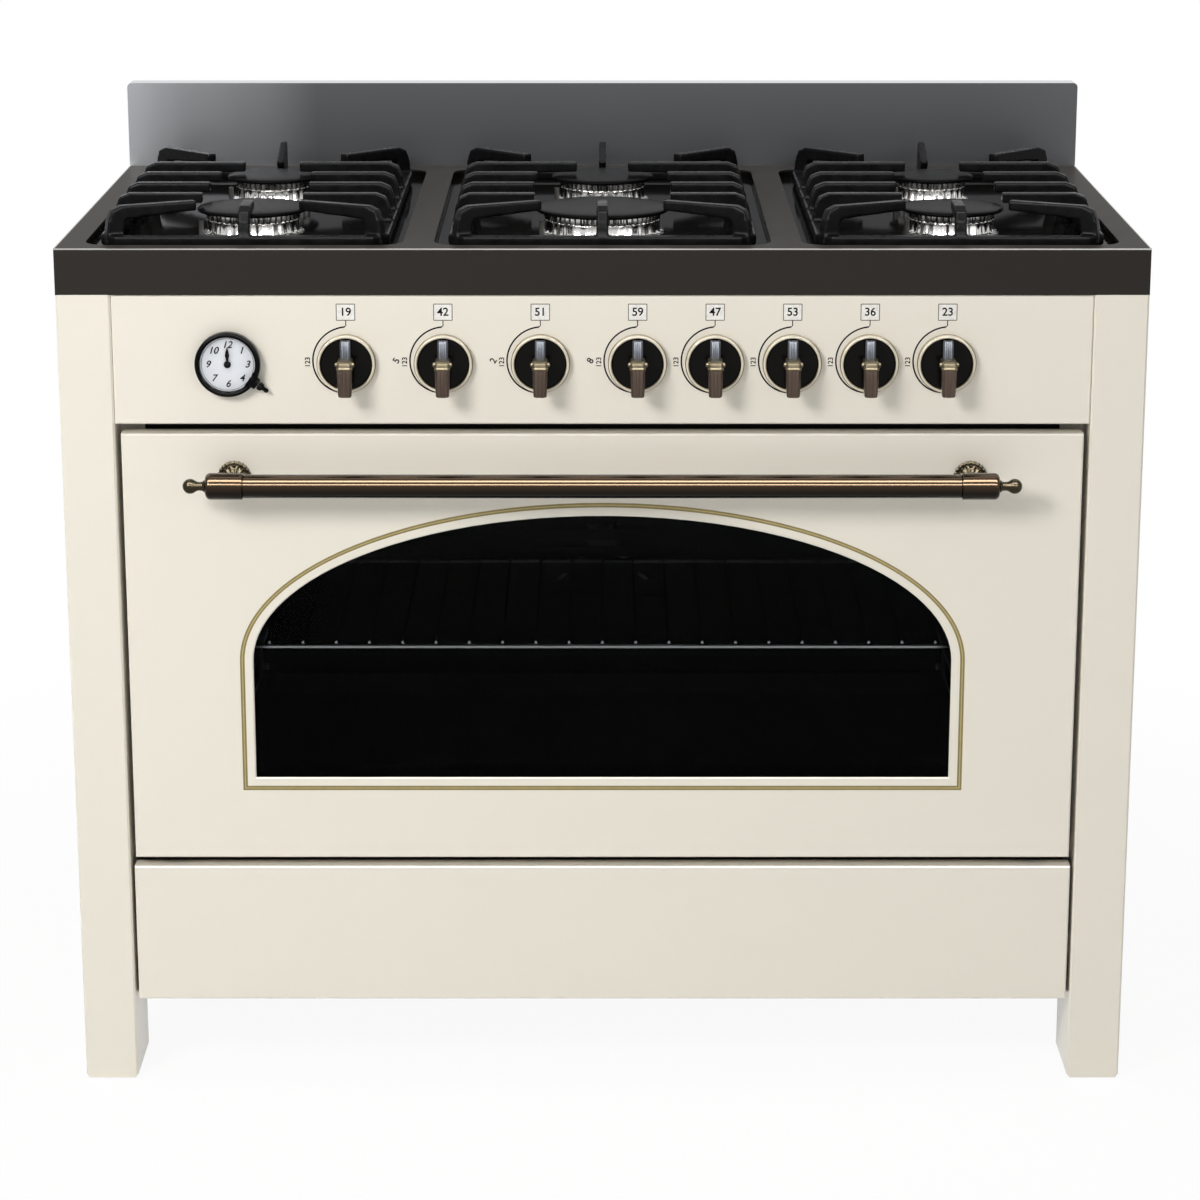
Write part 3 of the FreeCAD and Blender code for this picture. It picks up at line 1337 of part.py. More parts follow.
def door_outer_glass():
    half = DOOR_HALF - WINDOW_SIDE_MARGIN + GLASS_LAP
    y0 = FRONT_Y + DOOR_SKIN
    save("door_outer_glass", box(
        -half, half, y0, y0 + GLASS,
        DOOR_BOTTOM_Z + WINDOW_BOTTOM_MARGIN - GLASS_LAP,
        DOOR_TOP_Z - WINDOW_TOP_MARGIN + GLASS_LAP,
    ))


def inner_window():
    """Limits of the window in the inner frame: X half, low Z and high Z."""
    return (
        DOOR_HALF - WINDOW_SIDE_MARGIN + GLASS_LAP,
        DOOR_BOTTOM_Z + INNER_WINDOW_MARGIN,
        DOOR_TOP_Z - INNER_WINDOW_MARGIN,
    )


def door_inner_frame():
    """Inner pan that closes the back of the door round a plain window."""
    half = DOOR_HALF - DOOR_INNER_INSET
    z0 = DOOR_BOTTOM_Z + DOOR_SKIN + FACE_CHAMFER
    z1 = DOOR_TOP_Z - DOOR_INNER_INSET
    y0 = FRONT_Y + DOOR_PAN_DEPTH - DOOR_SKIN
    pan = box(-half, half, y0, DOOR_BACK_Y, z0, z1)
    sheet = DOOR_INNER_SHEET
    hollow = box(
        -half + sheet, half - sheet, y0, DOOR_BACK_Y - sheet, z0 + sheet, z1 - sheet
    )
    window_half, low, high = inner_window()
    window = box(-window_half, window_half, y0, DOOR_BACK_Y, low, high)
    save("door_inner_frame", pan.cut([hollow, window]).cut(mirrored(hinge_notch())))


def door_inner_glass():
    half, low, high = inner_window()
    y1 = DOOR_BACK_Y - DOOR_INNER_SHEET
    save("door_inner_glass", box(
        -half - GLASS_LAP, half + GLASS_LAP, y1 - GLASS, y1, low - GLASS_LAP, high + GLASS_LAP
    ))


def knuckle(x0, x1, radius):
    """Eight-sided boss round the hinge axis."""
    return ring_plate(Vector(x0, HINGE_Y, HINGE_Z), ALONG_X, radius, SMALL_SIDES, x1 - x0)


def door_hinge_arms():
    """Bracket in each lower corner of the door: two cheeks on the pin and a strap above."""
    half = hinge_half()
    outer = half + HINGE_CHEEK
    top = HINGE_Z + HINGE_KNUCKLE_R + HINGE_NOTCH_GAP
    cheek_top = top + 2 * HINGE_CHEEK
    flat = HINGE_KNUCKLE_R * math.cos(math.pi / SMALL_SIDES)
    y0, y1 = HINGE_Y - flat, HINGE_Y + flat
    cheeks = []
    for x0 in (HINGE_X - outer, HINGE_X + half):
        x1 = x0 + HINGE_CHEEK
        cheeks += [knuckle(x0, x1, HINGE_KNUCKLE_R), box(x0, x1, y0, y1, HINGE_Z, cheek_top)]
    bridge = box(HINGE_X - outer, HINGE_X + outer, y0, y1, top, cheek_top)
    strap = box(
        HINGE_X - outer, HINGE_X + outer, HINGE_Y, HINGE_Y + HINGE_CHEEK,
        cheek_top, cheek_top + HINGE_STRAP,
    )
    bore = knuckle(
        HINGE_X - outer, HINGE_X + outer,
        (HINGE_PIN_R + HINGE_FIT) / math.cos(math.pi / SMALL_SIDES),
    )
    save("door_hinge_arms", *mirrored(joined(cheeks + [bridge, strap]).cut(bore)))


def hinge_mounts():
    """Fixed arm through the front frame, ending in the pin that carries the door."""
    half = HINGE_ARM_WIDTH / 2
    outer = hinge_half() + HINGE_CHEEK
    rise = HINGE_KNUCKLE_R * math.cos(math.pi / SMALL_SIDES)
    arm = box(
        HINGE_X - half, HINGE_X + half, HINGE_Y, CAVITY_FRONT_Y + HINGE_PLATE,
        HINGE_Z - rise, HINGE_Z + rise,
    )
    flange = box(
        HINGE_X - 2 * half, HINGE_X + 2 * half, CAVITY_FRONT_Y, CAVITY_FRONT_Y + HINGE_PLATE,
        HINGE_Z - rise, HINGE_Z - rise + HINGE_PLATE_HEIGHT,
    )
    pin = cylinder(
        HINGE_PIN_R, Vector(HINGE_X - outer, HINGE_Y, HINGE_Z),
        Vector(HINGE_X + outer, HINGE_Y, HINGE_Z),
    )
    head = knuckle(HINGE_X - half, HINGE_X + half, HINGE_KNUCKLE_R)
    save("hinge_mounts", *mirrored(joined([head, arm, flange, pin])))


# ---- Door handle -----------------------------------------------------------------------------
def handle_bar():
    save("handle_bar", cylinder(
        HANDLE_BAR_R, Vector(-HANDLE_BAR_HALF, HANDLE_Y, HANDLE_Z),
        Vector(HANDLE_BAR_HALF, HANDLE_Y, HANDLE_Z),
    ))


def handle_ends():
    """Round sleeve with a bevelled shoulder, a waisted neck and a ball."""
    start = Vector(HANDLE_BAR_HALF, HANDLE_Y, HANDLE_Z)
    neck_end = SLEEVE_LENGTH + NECK_LENGTH
    ball = neck_end + math.sqrt(BALL_R ** 2 - NECK_R ** 2)
    profile = [
        (SLEEVE_R, 0),
        (SLEEVE_R, SLEEVE_LENGTH - SLEEVE_SHOULDER),
        (SLEEVE_R - SLEEVE_SHOULDER, SLEEVE_LENGTH),
        (NECK_R, SLEEVE_LENGTH),
        (NECK_R, neck_end),
    ]
    for turn in BALL_TURNS:
        angle = math.radians(turn)
        profile.append((BALL_R * math.sin(angle), ball - BALL_R * math.cos(angle)))
    save("handle_ends", *mirrored(spun(profile, start, ALONG_X, SIDES)))


def handle_posts():
    """Stepped rosette on the door with a post that meets the sleeve."""
    x = HANDLE_BAR_HALF + HANDLE_POST_INSET
    post = spun(
        [
            (ROSETTE_R, 0), (ROSETTE_R, ROSETTE_RIM), (ROSETTE_DOME_R, ROSETTE_RIM),
            (HANDLE_POST_R, ROSETTE_DOME), (HANDLE_POST_R, HANDLE_STANDOFF),
        ],
        Vector(x, FRONT_Y, HANDLE_Z), ALONG_Y * -1, SIDES,
    )
    sleeve = ring_plate(
        Vector(HANDLE_BAR_HALF, HANDLE_Y, HANDLE_Z), ALONG_X, SLEEVE_R, SIDES, SLEEVE_LENGTH
    )
    save("handle_posts", *mirrored(post.cut(sleeve)))


# ---- Drawer ----------------------------------------------------------------------------------
def drawer_front():
    half = OPENING_HALF - DRAWER_SIDE_GAP
    back = FRONT_Y + DRAWER_FRONT_DEPTH
    pan = box(-half, half, FRONT_Y, back, BODY_BOTTOM_Z, DRAWER_TOP_Z)
    pan = pan.makeChamfer(FACE_CHAMFER, edges_at_y(pan, FRONT_Y))
    wall = DRAWER_SHEET + FACE_CHAMFER
    hollow = box(
        -half + wall, half - wall, FRONT_Y + wall, back - DRAWER_SHEET,
        BODY_BOTTOM_Z + wall, DRAWER_TOP_Z - wall,
    )
    save("drawer_front", pan.cut(hollow))


def drawer_box_half():
    return OPENING_HALF - RAIL_CHANNEL_WIDTH - RUNNER_CLEARANCE


def drawer_box():
    """Open tray behind the drawer front, with a runner bar on each side."""
    half = drawer_box_half()
    y0 = FRONT_Y + DRAWER_FRONT_DEPTH
    y1 = y0 + DRAWER_BOX_DEPTH
    z0 = BODY_BOTTOM_Z + DRAWER_BOX_RISE
    z1 = z0 + DRAWER_BOX_HEIGHT
    tray = box(-half, half, y0, y1, z0, z1)
    hollow = box(
        -half + DRAWER_SHEET, half - DRAWER_SHEET, y0 + DRAWER_SHEET, y1 - DRAWER_SHEET,
        z0 + DRAWER_SHEET, z1,
    )
    low = rail_z() + RAIL_CHANNEL_WALL + RUNNER_CLEARANCE
    high = rail_z() + RAIL_CHANNEL_HEIGHT - RAIL_CHANNEL_WALL - RUNNER_CLEARANCE
    end = OPENING_HALF - RAIL_CHANNEL_WALL - RUNNER_CLEARANCE
    runner = box(half, end, y1 - RUNNER_BAR_LENGTH, y1, low, high)
    save("drawer_box", tray.cut(hollow), *mirrored(runner))


def rail_z():
    return BODY_BOTTOM_Z + DRAWER_BOX_RISE + RAIL_CHANNEL_RISE


def drawer_rails():
    """Channel on each side that opens inwards and holds the runner bar."""
    x0 = OPENING_HALF - RAIL_CHANNEL_WIDTH
    y0 = FRONT_Y + RAIL_FRONT
    y1 = BACK_PANEL_Y - SHEET
    z0, z1 = rail_z(), rail_z() + RAIL_CHANNEL_HEIGHT
    channel = box(x0, OPENING_HALF, y0, y1, z0, z1)
    slot = box(
        x0, OPENING_HALF - RAIL_CHANNEL_WALL, y0, y1,
        z0 + RAIL_CHANNEL_WALL, z1 - RAIL_CHANNEL_WALL,
    )
    save("drawer_rails", *mirrored(channel.cut(slot)))


def main():
    os.makedirs("parts", exist_ok=True)
    corner_posts()
    levelling_feet()
    side_panels()
    back_panel()
    base_panel()
    terminal_box()
    hob_top()
    hob_trays()
    splashback()
    burners()
    pan_supports()
    control_panel()
    bezels()
    clock_glass()
    clock_hand()
    clock_setter()
    knobs()
    gas_rail()
    oven_controls()
    oven_cavity()
    oven_front_frame()
    door_seal()
    insulation()
    heating_elements()
    fan_blade()
    fan_motor()
    fan_cover()
    rack_runners()
    oven_rack()
    baking_tray()
    door_outer_panel()
    door_outer_glass()
    door_inner_frame()
    door_inner_glass()
    door_hinge_arms()
    hinge_mounts()
    handle_bar()
    handle_ends()
    handle_posts()
    drawer_front()
    drawer_box()
    drawer_rails()


main()
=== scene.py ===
"""Dresses the range cooker for the photograph: materials, fine pieces, studio and camera.

Everything is in metres in the row frame: X to the right, Y to the back, Z up. A piece's vertices
are written in that frame, so its object stays at the origin until it rides on a body.
"""
import bmesh
import bpy
import json
import math
from mathutils import Matrix, Vector


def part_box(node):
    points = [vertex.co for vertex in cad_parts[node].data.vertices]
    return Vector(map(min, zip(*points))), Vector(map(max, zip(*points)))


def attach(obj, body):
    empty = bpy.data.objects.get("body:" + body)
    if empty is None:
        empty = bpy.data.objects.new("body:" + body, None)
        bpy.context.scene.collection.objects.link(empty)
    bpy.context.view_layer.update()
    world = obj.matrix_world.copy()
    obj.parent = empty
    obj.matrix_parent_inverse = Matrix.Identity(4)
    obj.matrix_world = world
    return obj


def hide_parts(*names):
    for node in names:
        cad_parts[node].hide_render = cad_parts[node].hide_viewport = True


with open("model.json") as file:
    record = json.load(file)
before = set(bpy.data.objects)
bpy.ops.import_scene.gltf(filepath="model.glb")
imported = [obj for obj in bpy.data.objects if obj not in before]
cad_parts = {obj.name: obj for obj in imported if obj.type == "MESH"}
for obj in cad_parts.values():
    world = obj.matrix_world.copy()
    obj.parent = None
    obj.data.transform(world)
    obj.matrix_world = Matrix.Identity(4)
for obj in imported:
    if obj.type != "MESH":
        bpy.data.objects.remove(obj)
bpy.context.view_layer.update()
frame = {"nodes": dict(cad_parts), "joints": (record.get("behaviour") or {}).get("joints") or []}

MM = 0.001
X = Vector((1, 0, 0))
Y = Vector((0, 1, 0))
Z = Vector((0, 0, 1))
FRONT = -Y

# ---- Places read from the frame ---------------------------------------------------------------
JOINTS = {joint["name"]: joint for joint in frame["joints"]}
PANEL_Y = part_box("control_panel")[0].y
DOOR_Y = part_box("door_outer_panel")[0].y
RACK_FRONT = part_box("oven_rack")[0].y
STOP_X = 0.470  # the oven's face frame is cream beyond this, on both sides
KNOB_COUNT = 8
OVEN_KNOBS = 2
KNOBS = [Vector(JOINTS["knob_%d_turn" % (n + 1)]["pos_m"]) for n in range(KNOB_COUNT)]
CLOCK = Vector(JOINTS["hand_turn"]["pos_m"])
SETTER_AXIS = Vector(JOINTS["setter_turn"]["axis"])


# ---- Meshes -----------------------------------------------------------------------------------
def circle(centre, axis, radius, sides, lobes=0, depth=0.0):
    """Points round an axis. Lobes press the circle in by up to a depth."""
    across = axis.orthogonal().normalized()
    over = axis.cross(across)
    points = []
    for n in range(sides):
        turn = 2 * math.pi * n / sides
        reach = radius - depth * (0.5 - 0.5 * math.cos(lobes * turn))
        points.append(centre + across * (reach * math.cos(turn)) + over * (reach * math.sin(turn)))
    return points


def add_rings(form, rings, look=0, closed=False):
    """Skin through rings of points, capped at both ends or joined round."""
    rows = [[form.verts.new(p) for p in ring] for ring in rings]
    pairs = list(zip(rows, rows[1:]))
    if closed:
        pairs.append((rows[-1], rows[0]))
    faces = []
    for low, high in pairs:
        for n in range(len(low)):
            m = (n + 1) % len(low)
            faces.append(form.faces.new((low[n], low[m], high[m], high[n])))
    if not closed:
        faces += [form.faces.new(rows[0]), form.faces.new(rows[-1])]
    for face in faces:
        face.material_index = look


def add_turned(form, profile, base, axis, sides=48, look=0, lobes=0, depth=0.0, closed=False):
    """Turned form. The profile lists (radius, distance along the axis) in millimetres."""
    add_rings(form, [
        circle(base + axis * (along * MM), axis, max(radius, 0.01) * MM, sides, lobes, depth * MM)
        for radius, along in profile
    ], look, closed)


def add_box(form, low, high, look=0):
    (x0, y0, z0), (x1, y1, z1) = low, high
    add_rings(form, [
        [Vector((x0, y0, z)), Vector((x1, y0, z)), Vector((x1, y1, z)), Vector((x0, y1, z))]
        for z in (z0, z1)
    ], look)


def rounding(radius, start, end, centre, steps=6):
    """Profile points on an arc between two angles, in degrees, round (radius, along)."""
    points = []
    for n in range(steps + 1):
        turn = math.radians(start + (end - start) * n / steps)
        points.append((centre[0] + radius * math.cos(turn), centre[1] + radius * math.sin(turn)))
    return points


SHARP_ANGLE = math.radians(32)


def piece(name, form, looks, body, replaces=(), bevel=0.0):
    """Finishes a form as an object that rides on a body."""
    bmesh.ops.remove_doubles(form, verts=form.verts, dist=1e-6)
    bmesh.ops.recalc_face_normals(form, faces=form.faces)
    mesh = bpy.data.meshes.new(name)
    form.to_mesh(mesh)
    form.free()
    for look in looks:
        mesh.materials.append(look)
    mesh.shade_smooth()
    mesh.set_sharp_from_angle(angle=SHARP_ANGLE)
    thing = bpy.data.objects.new(name, mesh)
    bpy.context.scene.collection.objects.link(thing)
    if bevel:
        round_edges(thing, bevel)
    settle(thing, body, replaces)


def settle(thing, body, replaces=()):
    """Ties a new object to its body and to the CAD nodes that it stands for."""
    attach(thing, body)
    if replaces:
        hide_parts(*replaces)


def round_edges(thing, width, segments=3):
    bevel = thing.modifiers.new("round_edges", "BEVEL")
    bevel.width = width * MM
    bevel.segments = segments
    bevel.limit_method = "ANGLE"
    bevel.angle_limit = math.radians(28)


def soften(node, width):
    """Merges a CAD node's flat facets and rounds the edges between them."""
    thing = frame["nodes"][node]
    merge = thing.modifiers.new("merge_flat", "DECIMATE")
    merge.decimate_type = "DISSOLVE"
    merge.angle_limit = math.radians(0.6)
    round_edges(thing, width, 2)


def cast(node, grain, passes):
    """Gives a CAD node the soft edges and filled corners of a casting."""
    thing = frame["nodes"][node]
    remesh = thing.modifiers.new("cast_skin", "REMESH")
    remesh.mode = "VOXEL"
    remesh.voxel_size = grain * MM
    remesh.use_smooth_shade = True
    smooth = thing.modifiers.new("cast_smooth", "SMOOTH")
    smooth.factor = 0.5
    smooth.iterations = passes


# ---- Materials --------------------------------------------------------------------------------
# How far a face's normal rises where the painted light on flat tops starts, and where it is full.
PAINTED_TOP_LIGHT = (0.35, 0.8)


def shade(colour, factor):
    """The colour made lighter or darker."""
    return tuple(min(1.0, c * factor) for c in colour)


class Look:
    """One Principled material, with the nodes that vary its surface."""

    def __init__(self, name, colour, roughness, metallic=0.0, specular=0.5):
        self.material = bpy.data.materials.new(name)
        self.material.use_nodes = True
        self.nodes = self.material.node_tree.nodes
        self.links = self.material.node_tree.links
        self.shader = self.nodes["Principled BSDF"]
        self.colour = colour
        self.roughness = roughness
        self.set("Base Color", (*colour, 1.0))
        self.set("Roughness", roughness)
        self.set("Metallic", metallic)
        self.set("Specular IOR Level", specular)

    def set(self, socket, value):
        self.shader.inputs[socket].default_value = value

    def noise(self, scale, stretch=(1, 1, 1), detail=4.0, kind="ShaderNodeTexNoise"):
        """Noise in object space. A stretch above 1 packs it more tightly along that axis."""
        place = self.nodes.new("ShaderNodeTexCoord")
        mapping = self.nodes.new("ShaderNodeMapping")
        mapping.inputs["Scale"].default_value = stretch
        texture = self.nodes.new(kind)
        texture.inputs["Scale"].default_value = scale
        if "Detail" in texture.inputs:
            texture.inputs["Detail"].default_value = detail
        self.links.new(place.outputs["Object"], mapping.inputs["Vector"])
        self.links.new(mapping.outputs["Vector"], texture.inputs["Vector"])
        return texture.outputs[0]

    def along(self, axis, start, end, size=False):
        """0 to 1 between two places on an axis, or on its size either side of the middle."""
        place = self.nodes.new("ShaderNodeTexCoord")
        parts = self.nodes.new("ShaderNodeSeparateXYZ")
        self.links.new(place.outputs["Object"], parts.inputs[0])
        value = parts.outputs[axis]
        if size:
            value = self.maths("ABSOLUTE", value)
        return self.mapped(value, start, end)

    def looking_up(self, start, end):
        """0 to 1 as the surface turns upwards: -1 faces straight down, and 1 straight up."""
        geometry = self.nodes.new("ShaderNodeNewGeometry")
        parts = self.nodes.new("ShaderNodeSeparateXYZ")
        self.links.new(geometry.outputs["Normal"], parts.inputs[0])
        return self.mapped(parts.outputs["Z"], start, end)

    def maths(self, operation, first, second=None):
        node = self.nodes.new("ShaderNodeMath")
        node.operation = operation
        self.links.new(first, node.inputs[0])
        if second:
            self.links.new(second, node.inputs[1])
        return node.outputs[0]

    def mapped(self, value, start, end, low=0.0, high=1.0):
        node = self.nodes.new("ShaderNodeMapRange")
        ends = {"From Min": start, "From Max": end, "To Min": low, "To Max": high}
        for socket, level in ends.items():
            node.inputs[socket].default_value = level
        self.links.new(value, node.inputs["Value"])
        return node.outputs["Result"]

    def spread(self, value, low, high):
        """Maps noise on to a range, sharpened round its middle."""
        return self.mapped(value, 0.3, 0.7, low, high)

    def blend(self, first, second, share):
        """Mixes two colours, each given as numbers or as another mix's output."""
        mix = self.nodes.new("ShaderNodeMix")
        mix.data_type = "RGBA"
        for socket, colour in (("A", first), ("B", second)):
            if isinstance(colour, tuple):
                mix.inputs[socket].default_value = (*colour, 1.0)
            else:
                self.links.new(colour, mix.inputs[socket])
        self.links.new(share, mix.inputs["Factor"])
        return mix.outputs["Result"]

    def paint(self, colour):
        self.links.new(colour, self.shader.inputs["Base Color"])
        return self

    def tint(self, value, amount):
        """Makes the colour lighter and darker by this share, following the noise."""
        dark, light = shade(self.colour, 1 - amount), shade(self.colour, 1 + amount)
        return self.paint(self.blend(dark, light, self.mapped(value, 0.2, 0.8)))

    def gloss(self, value, amount):
        """Varies the roughness by this much either way."""
        low, high = max(0.0, self.roughness - amount), self.roughness + amount
        self.links.new(self.spread(value, low, high), self.shader.inputs["Roughness"])
        return self

    def bump(self, value, depth):
        """Raises the surface by this many millimetres where the noise is high."""
        node = self.nodes.new("ShaderNodeBump")
        node.inputs["Strength"].default_value = 1.0
        node.inputs["Distance"].default_value = depth * MM
        self.links.new(value, node.inputs["Height"])
        self.links.new(node.outputs["Normal"], self.shader.inputs["Normal"])
        return self


def enamel(name, colour, roughness=0.28, specular=0.5):
    """Stoved enamel: a fine orange peel under gloss."""
    look = Look(name, colour, roughness, specular=specular)
    look.tint(look.noise(2.0, detail=1.0), 0.003)
    look.gloss(look.noise(20.0, detail=2.0), 0.002)
    return look.bump(look.noise(500.0, detail=1.0), 0.0015).material


def brushed(name, colour, roughness, stretch, metallic=1.0, depth=0.01, amount=0.10):
    """Metal with fine lines. The stretch is largest across the lines."""
    look = Look(name, colour, roughness, metallic)
    lines = look.noise(60.0, stretch)
    look.tint(lines, amount)
    look.gloss(look.noise(25.0, stretch), 0.05)
    return look.bump(lines, depth).material


def casting(name, colour, roughness, depth, metallic=0.0, specular=0.3):
    """Cast metal with a grainy skin."""
    look = Look(name, colour, roughness, metallic, specular)
    look.tint(look.noise(40.0), 0.25)
    look.gloss(look.noise(90.0), 0.08)
    return look.bump(look.noise(260.0, detail=5.0), depth).material


def spangled(name, colour):
    """Zinc-coated sheet with large pale and dark crystals."""
    look = Look(name, colour, 0.38, 0.9)
    crystals = look.noise(70.0, kind="ShaderNodeTexVoronoi")
    look.tint(crystals, 0.12)
    return look.gloss(crystals, 0.08).material


def plastic(name, colour, roughness=0.5, depth=0.03):
    look = Look(name, colour, roughness)
    look.tint(look.noise(30.0), 0.05)
    return look.bump(look.noise(900.0, detail=2.0), depth).material


def fibre(name, colour):
    look = Look(name, colour, 0.95)
    look.tint(look.noise(120.0, (1, 1, 5)), 0.35)
    return look.bump(look.noise(160.0, (1, 1, 6)), 1.2).material


SMEAR = 0.003


def glazing(name, colour, bend):
    """Tinted glass with the faint smears that cleaning leaves."""
    look = Look(name, colour, 0.0)
    look.set("Transmission Weight", 1.0)
    look.set("IOR", bend)
    smears = look.spread(look.noise(9.0, detail=3.0), 0.0, SMEAR)
    look.links.new(smears, look.shader.inputs["Roughness"])
    return look.material


def gilt(name, colour):
    look = Look(name, colour, 0.38, 0.2)
    look.tint(look.noise(140.0), 0.10)
    return look.gloss(look.noise(60.0), 0.06).material


def ink(name, colour):
    look = Look(name, colour, 0.6, specular=0.05)
    return look.tint(look.noise(300.0), 0.15).material


def hob_steel(name, colour):
    """Dark satin coat over brushed steel, with painted light that makes its flat top a little
    lighter.
    """
    look = Look(name, colour, 0.36, specular=0.01)
    lines = look.noise(60.0, (0.4, 9, 9))
    side = look.blend(shade(colour, 0.96), shade(colour, 1.04), lines)
    # Painted light: faces turned up are made 1.45 times lighter, as if lit from above.
    look.paint(look.blend(side, shade(colour, 1.45), look.looking_up(*PAINTED_TOP_LIGHT)))
    return look.bump(lines, 0.0006).material


def splash_steel(name, colour):
    """Satin steel with painted reflections as soft upright streaks towards its left end, and a
    painted highlight on its folded rim.
    """
    look = Look(name, colour, 0.32, 1.0)
    # Painted reflections: soft upright streaks, up to 3.8 times lighter, that fade in towards the
    # left end.
    reflection_streaks = look.spread(look.noise(7.0, (1, 1, 0.05), 1.0), 0.4, 1.0)
    left = look.along("X", -0.33, -0.50)
    body = look.blend(colour, shade(colour, 3.8), look.maths("MULTIPLY", reflection_streaks, left))
    # Painted highlight: faces turned up, along the top rim, are made 9.5 times lighter.
    look.paint(look.blend(body, shade(colour, 9.5), look.looking_up(*PAINTED_TOP_LIGHT)))
    return look.bump(look.noise(60.0, (0.3, 14, 14)), 0.0001).material


def frame_enamel(name, colour, stop_colour):
    """Black oven enamel whose stop strips, at the two ends, are the body's cream."""
    look = Look(name, colour, 0.3, specular=0.3)
    ends = look.along("X", STOP_X - 0.0001, STOP_X, size=True)
    look.paint(look.blend(colour, stop_colour, ends))
    return look.bump(look.noise(700.0, detail=2.0), 0.008).material


def rack_metal(name, colour, rear_colour):
    """Bright wire, darker from just behind its front bar to the back."""
    look = Look(name, colour, 0.18, 1.0)
    look.paint(look.blend(colour, rear_colour, look.along("Y", RACK_FRONT + 0.02, RACK_FRONT + 0.10)))
    return look.gloss(look.noise(30.0, (1, 8, 8)), 0.05).material


def handle_metal(name, colour):
    """Lacquered bronze drawn into a bar, with painted shade that darkens it where it looks down.
    """
    look = Look(name, colour, 0.16, 1.0)
    look.set("Coat Weight", 0.2)
    look.set("Coat Roughness", 0.08)
    lines = look.noise(50.0, (0.05, 24, 24))
    upper = look.blend(colour, shade(colour, 1.12), lines)
    # Painted shade: faces turned down fade to under a fifth of the colour.
    look.paint(look.blend(shade(colour, 0.18), upper, look.looking_up(-0.35, 0.30)))
    return look.bump(lines, 0.0004).material


CREAM_COLOUR = (0.79, 0.745, 0.645)

CREAM = enamel("enamel_cream", CREAM_COLOUR)
CREAM_RING = enamel("bezel_enamel", (0.70, 0.64, 0.50), 0.2)
HOB = hob_steel("hob_enamel", (0.032, 0.0285, 0.025))
# Painted highlight: pale strip metal along the hob's folded edges, where light catches them.
EDGE_HIGHLIGHT = brushed(
    "painted_edge_highlight", (0.42, 0.41, 0.39), 0.25, (0.4, 9, 9), depth=0.001, amount=0.05)
TRAY = enamel("tray_enamel", (0.007, 0.0065, 0.006), 0.08, specular=0.006)
SPLASH = splash_steel("splash_steel", (0.056, 0.057, 0.059))
IRON = casting("cast_iron", (0.0055, 0.0055, 0.0062), 0.30, 0.015, specular=0.045)
CAP = enamel("burner_cap_enamel", (0.0045, 0.0045, 0.0045), 0.25, specular=0.008)
CROWN = brushed(
    "burner_metal", (0.60, 0.59, 0.575), 0.14, (6, 6, 0.6), depth=0.006, amount=0.12)
CERAMIC = plastic("igniter_ceramic", (0.10, 0.095, 0.085), 0.25, 0.01)
DISC = enamel("knob_disc_black", (0.0035, 0.003, 0.0025), 0.16, specular=0.08)
GILT = gilt("gilt_line", (0.22, 0.17, 0.055))
PALE_GILT = gilt("gilt_pale", (0.42, 0.34, 0.14))
RING_LINE = gilt("bezel_line", (0.115, 0.085, 0.035))
BRONZE = brushed("lever_bronze", (0.085, 0.062, 0.049), 0.28, (14, 14, 0.5), amount=0.3)
BRASS = brushed(
    "collar_brass", (0.105, 0.088, 0.058), 0.38, (3, 3, 3), depth=0.005, amount=0.12)
CHROME = brushed(
    "pointer_chrome", (0.075, 0.08, 0.09), 0.42, (12, 12, 0.5), depth=0.006, amount=0.15)
CLOCK_BLACK = enamel("clock_black", (0.003, 0.003, 0.003), 0.22, specular=0.04)
DIAL = brushed(
    "clock_dial", (0.56, 0.57, 0.59), 0.5, (1, 8, 8), metallic=0.0, depth=0.001, amount=0.03)
INK = ink("ink_black", (0.003, 0.003, 0.003))
INK_BROWN = ink("ink_brown", (0.17, 0.14, 0.10))
BOX_WHITE = ink("ink_white", (0.82, 0.80, 0.75))
HANDLE = handle_metal("handle_bronze", (0.040, 0.0255, 0.0135))
HANDLE_CAST = casting("handle_ends_bronze", (0.036, 0.029, 0.018), 0.24, 0.03, metallic=0.95)
ZINC = spangled("galvanised", (0.42, 0.43, 0.44))
STEEL = brushed("shaft_steel", (0.52, 0.52, 0.52), 0.28, (1, 10, 1))
WIRE = rack_metal("wire_chrome", (0.60, 0.60, 0.61), (0.05, 0.05, 0.05))
DULL_WIRE = brushed(
    "wire_dull", (0.10, 0.10, 0.10), 0.35, (1, 8, 8), depth=0.002, amount=0.05)
RAIL = brushed("gas_brass", (0.50, 0.38, 0.17), 0.32, (1, 6, 6))
CONTROL = plastic("control_plastic", (0.62, 0.60, 0.55))
TERMINAL = plastic("terminal_plastic", (0.03, 0.03, 0.03), 0.42)
OVEN = enamel("oven_enamel", (0.004, 0.004, 0.0045), 0.22, specular=0.12)
FRAME = frame_enamel("frame_enamel", (0.005, 0.005, 0.006), CREAM_COLOUR)
SEAL = plastic("seal_silicone", (0.02, 0.02, 0.02), 0.6, 0.02)
WOOL = fibre("mineral_wool", (0.62, 0.55, 0.36))
ELEMENT = brushed("element_steel", (0.016, 0.015, 0.014), 0.5, (1, 5, 5), metallic=0.6)
INNER = enamel("inner_frame_enamel", (0.005, 0.005, 0.005), 0.25, specular=0.12)
WINDOW = glazing("dark_glass", (0.60, 0.60, 0.61), 1.06)
CLEAR = glazing("clear_glass", (0.93, 0.95, 0.94), 1.05)
CRYSTAL = glazing("clock_glass", (0.98, 0.985, 0.99), 1.15)

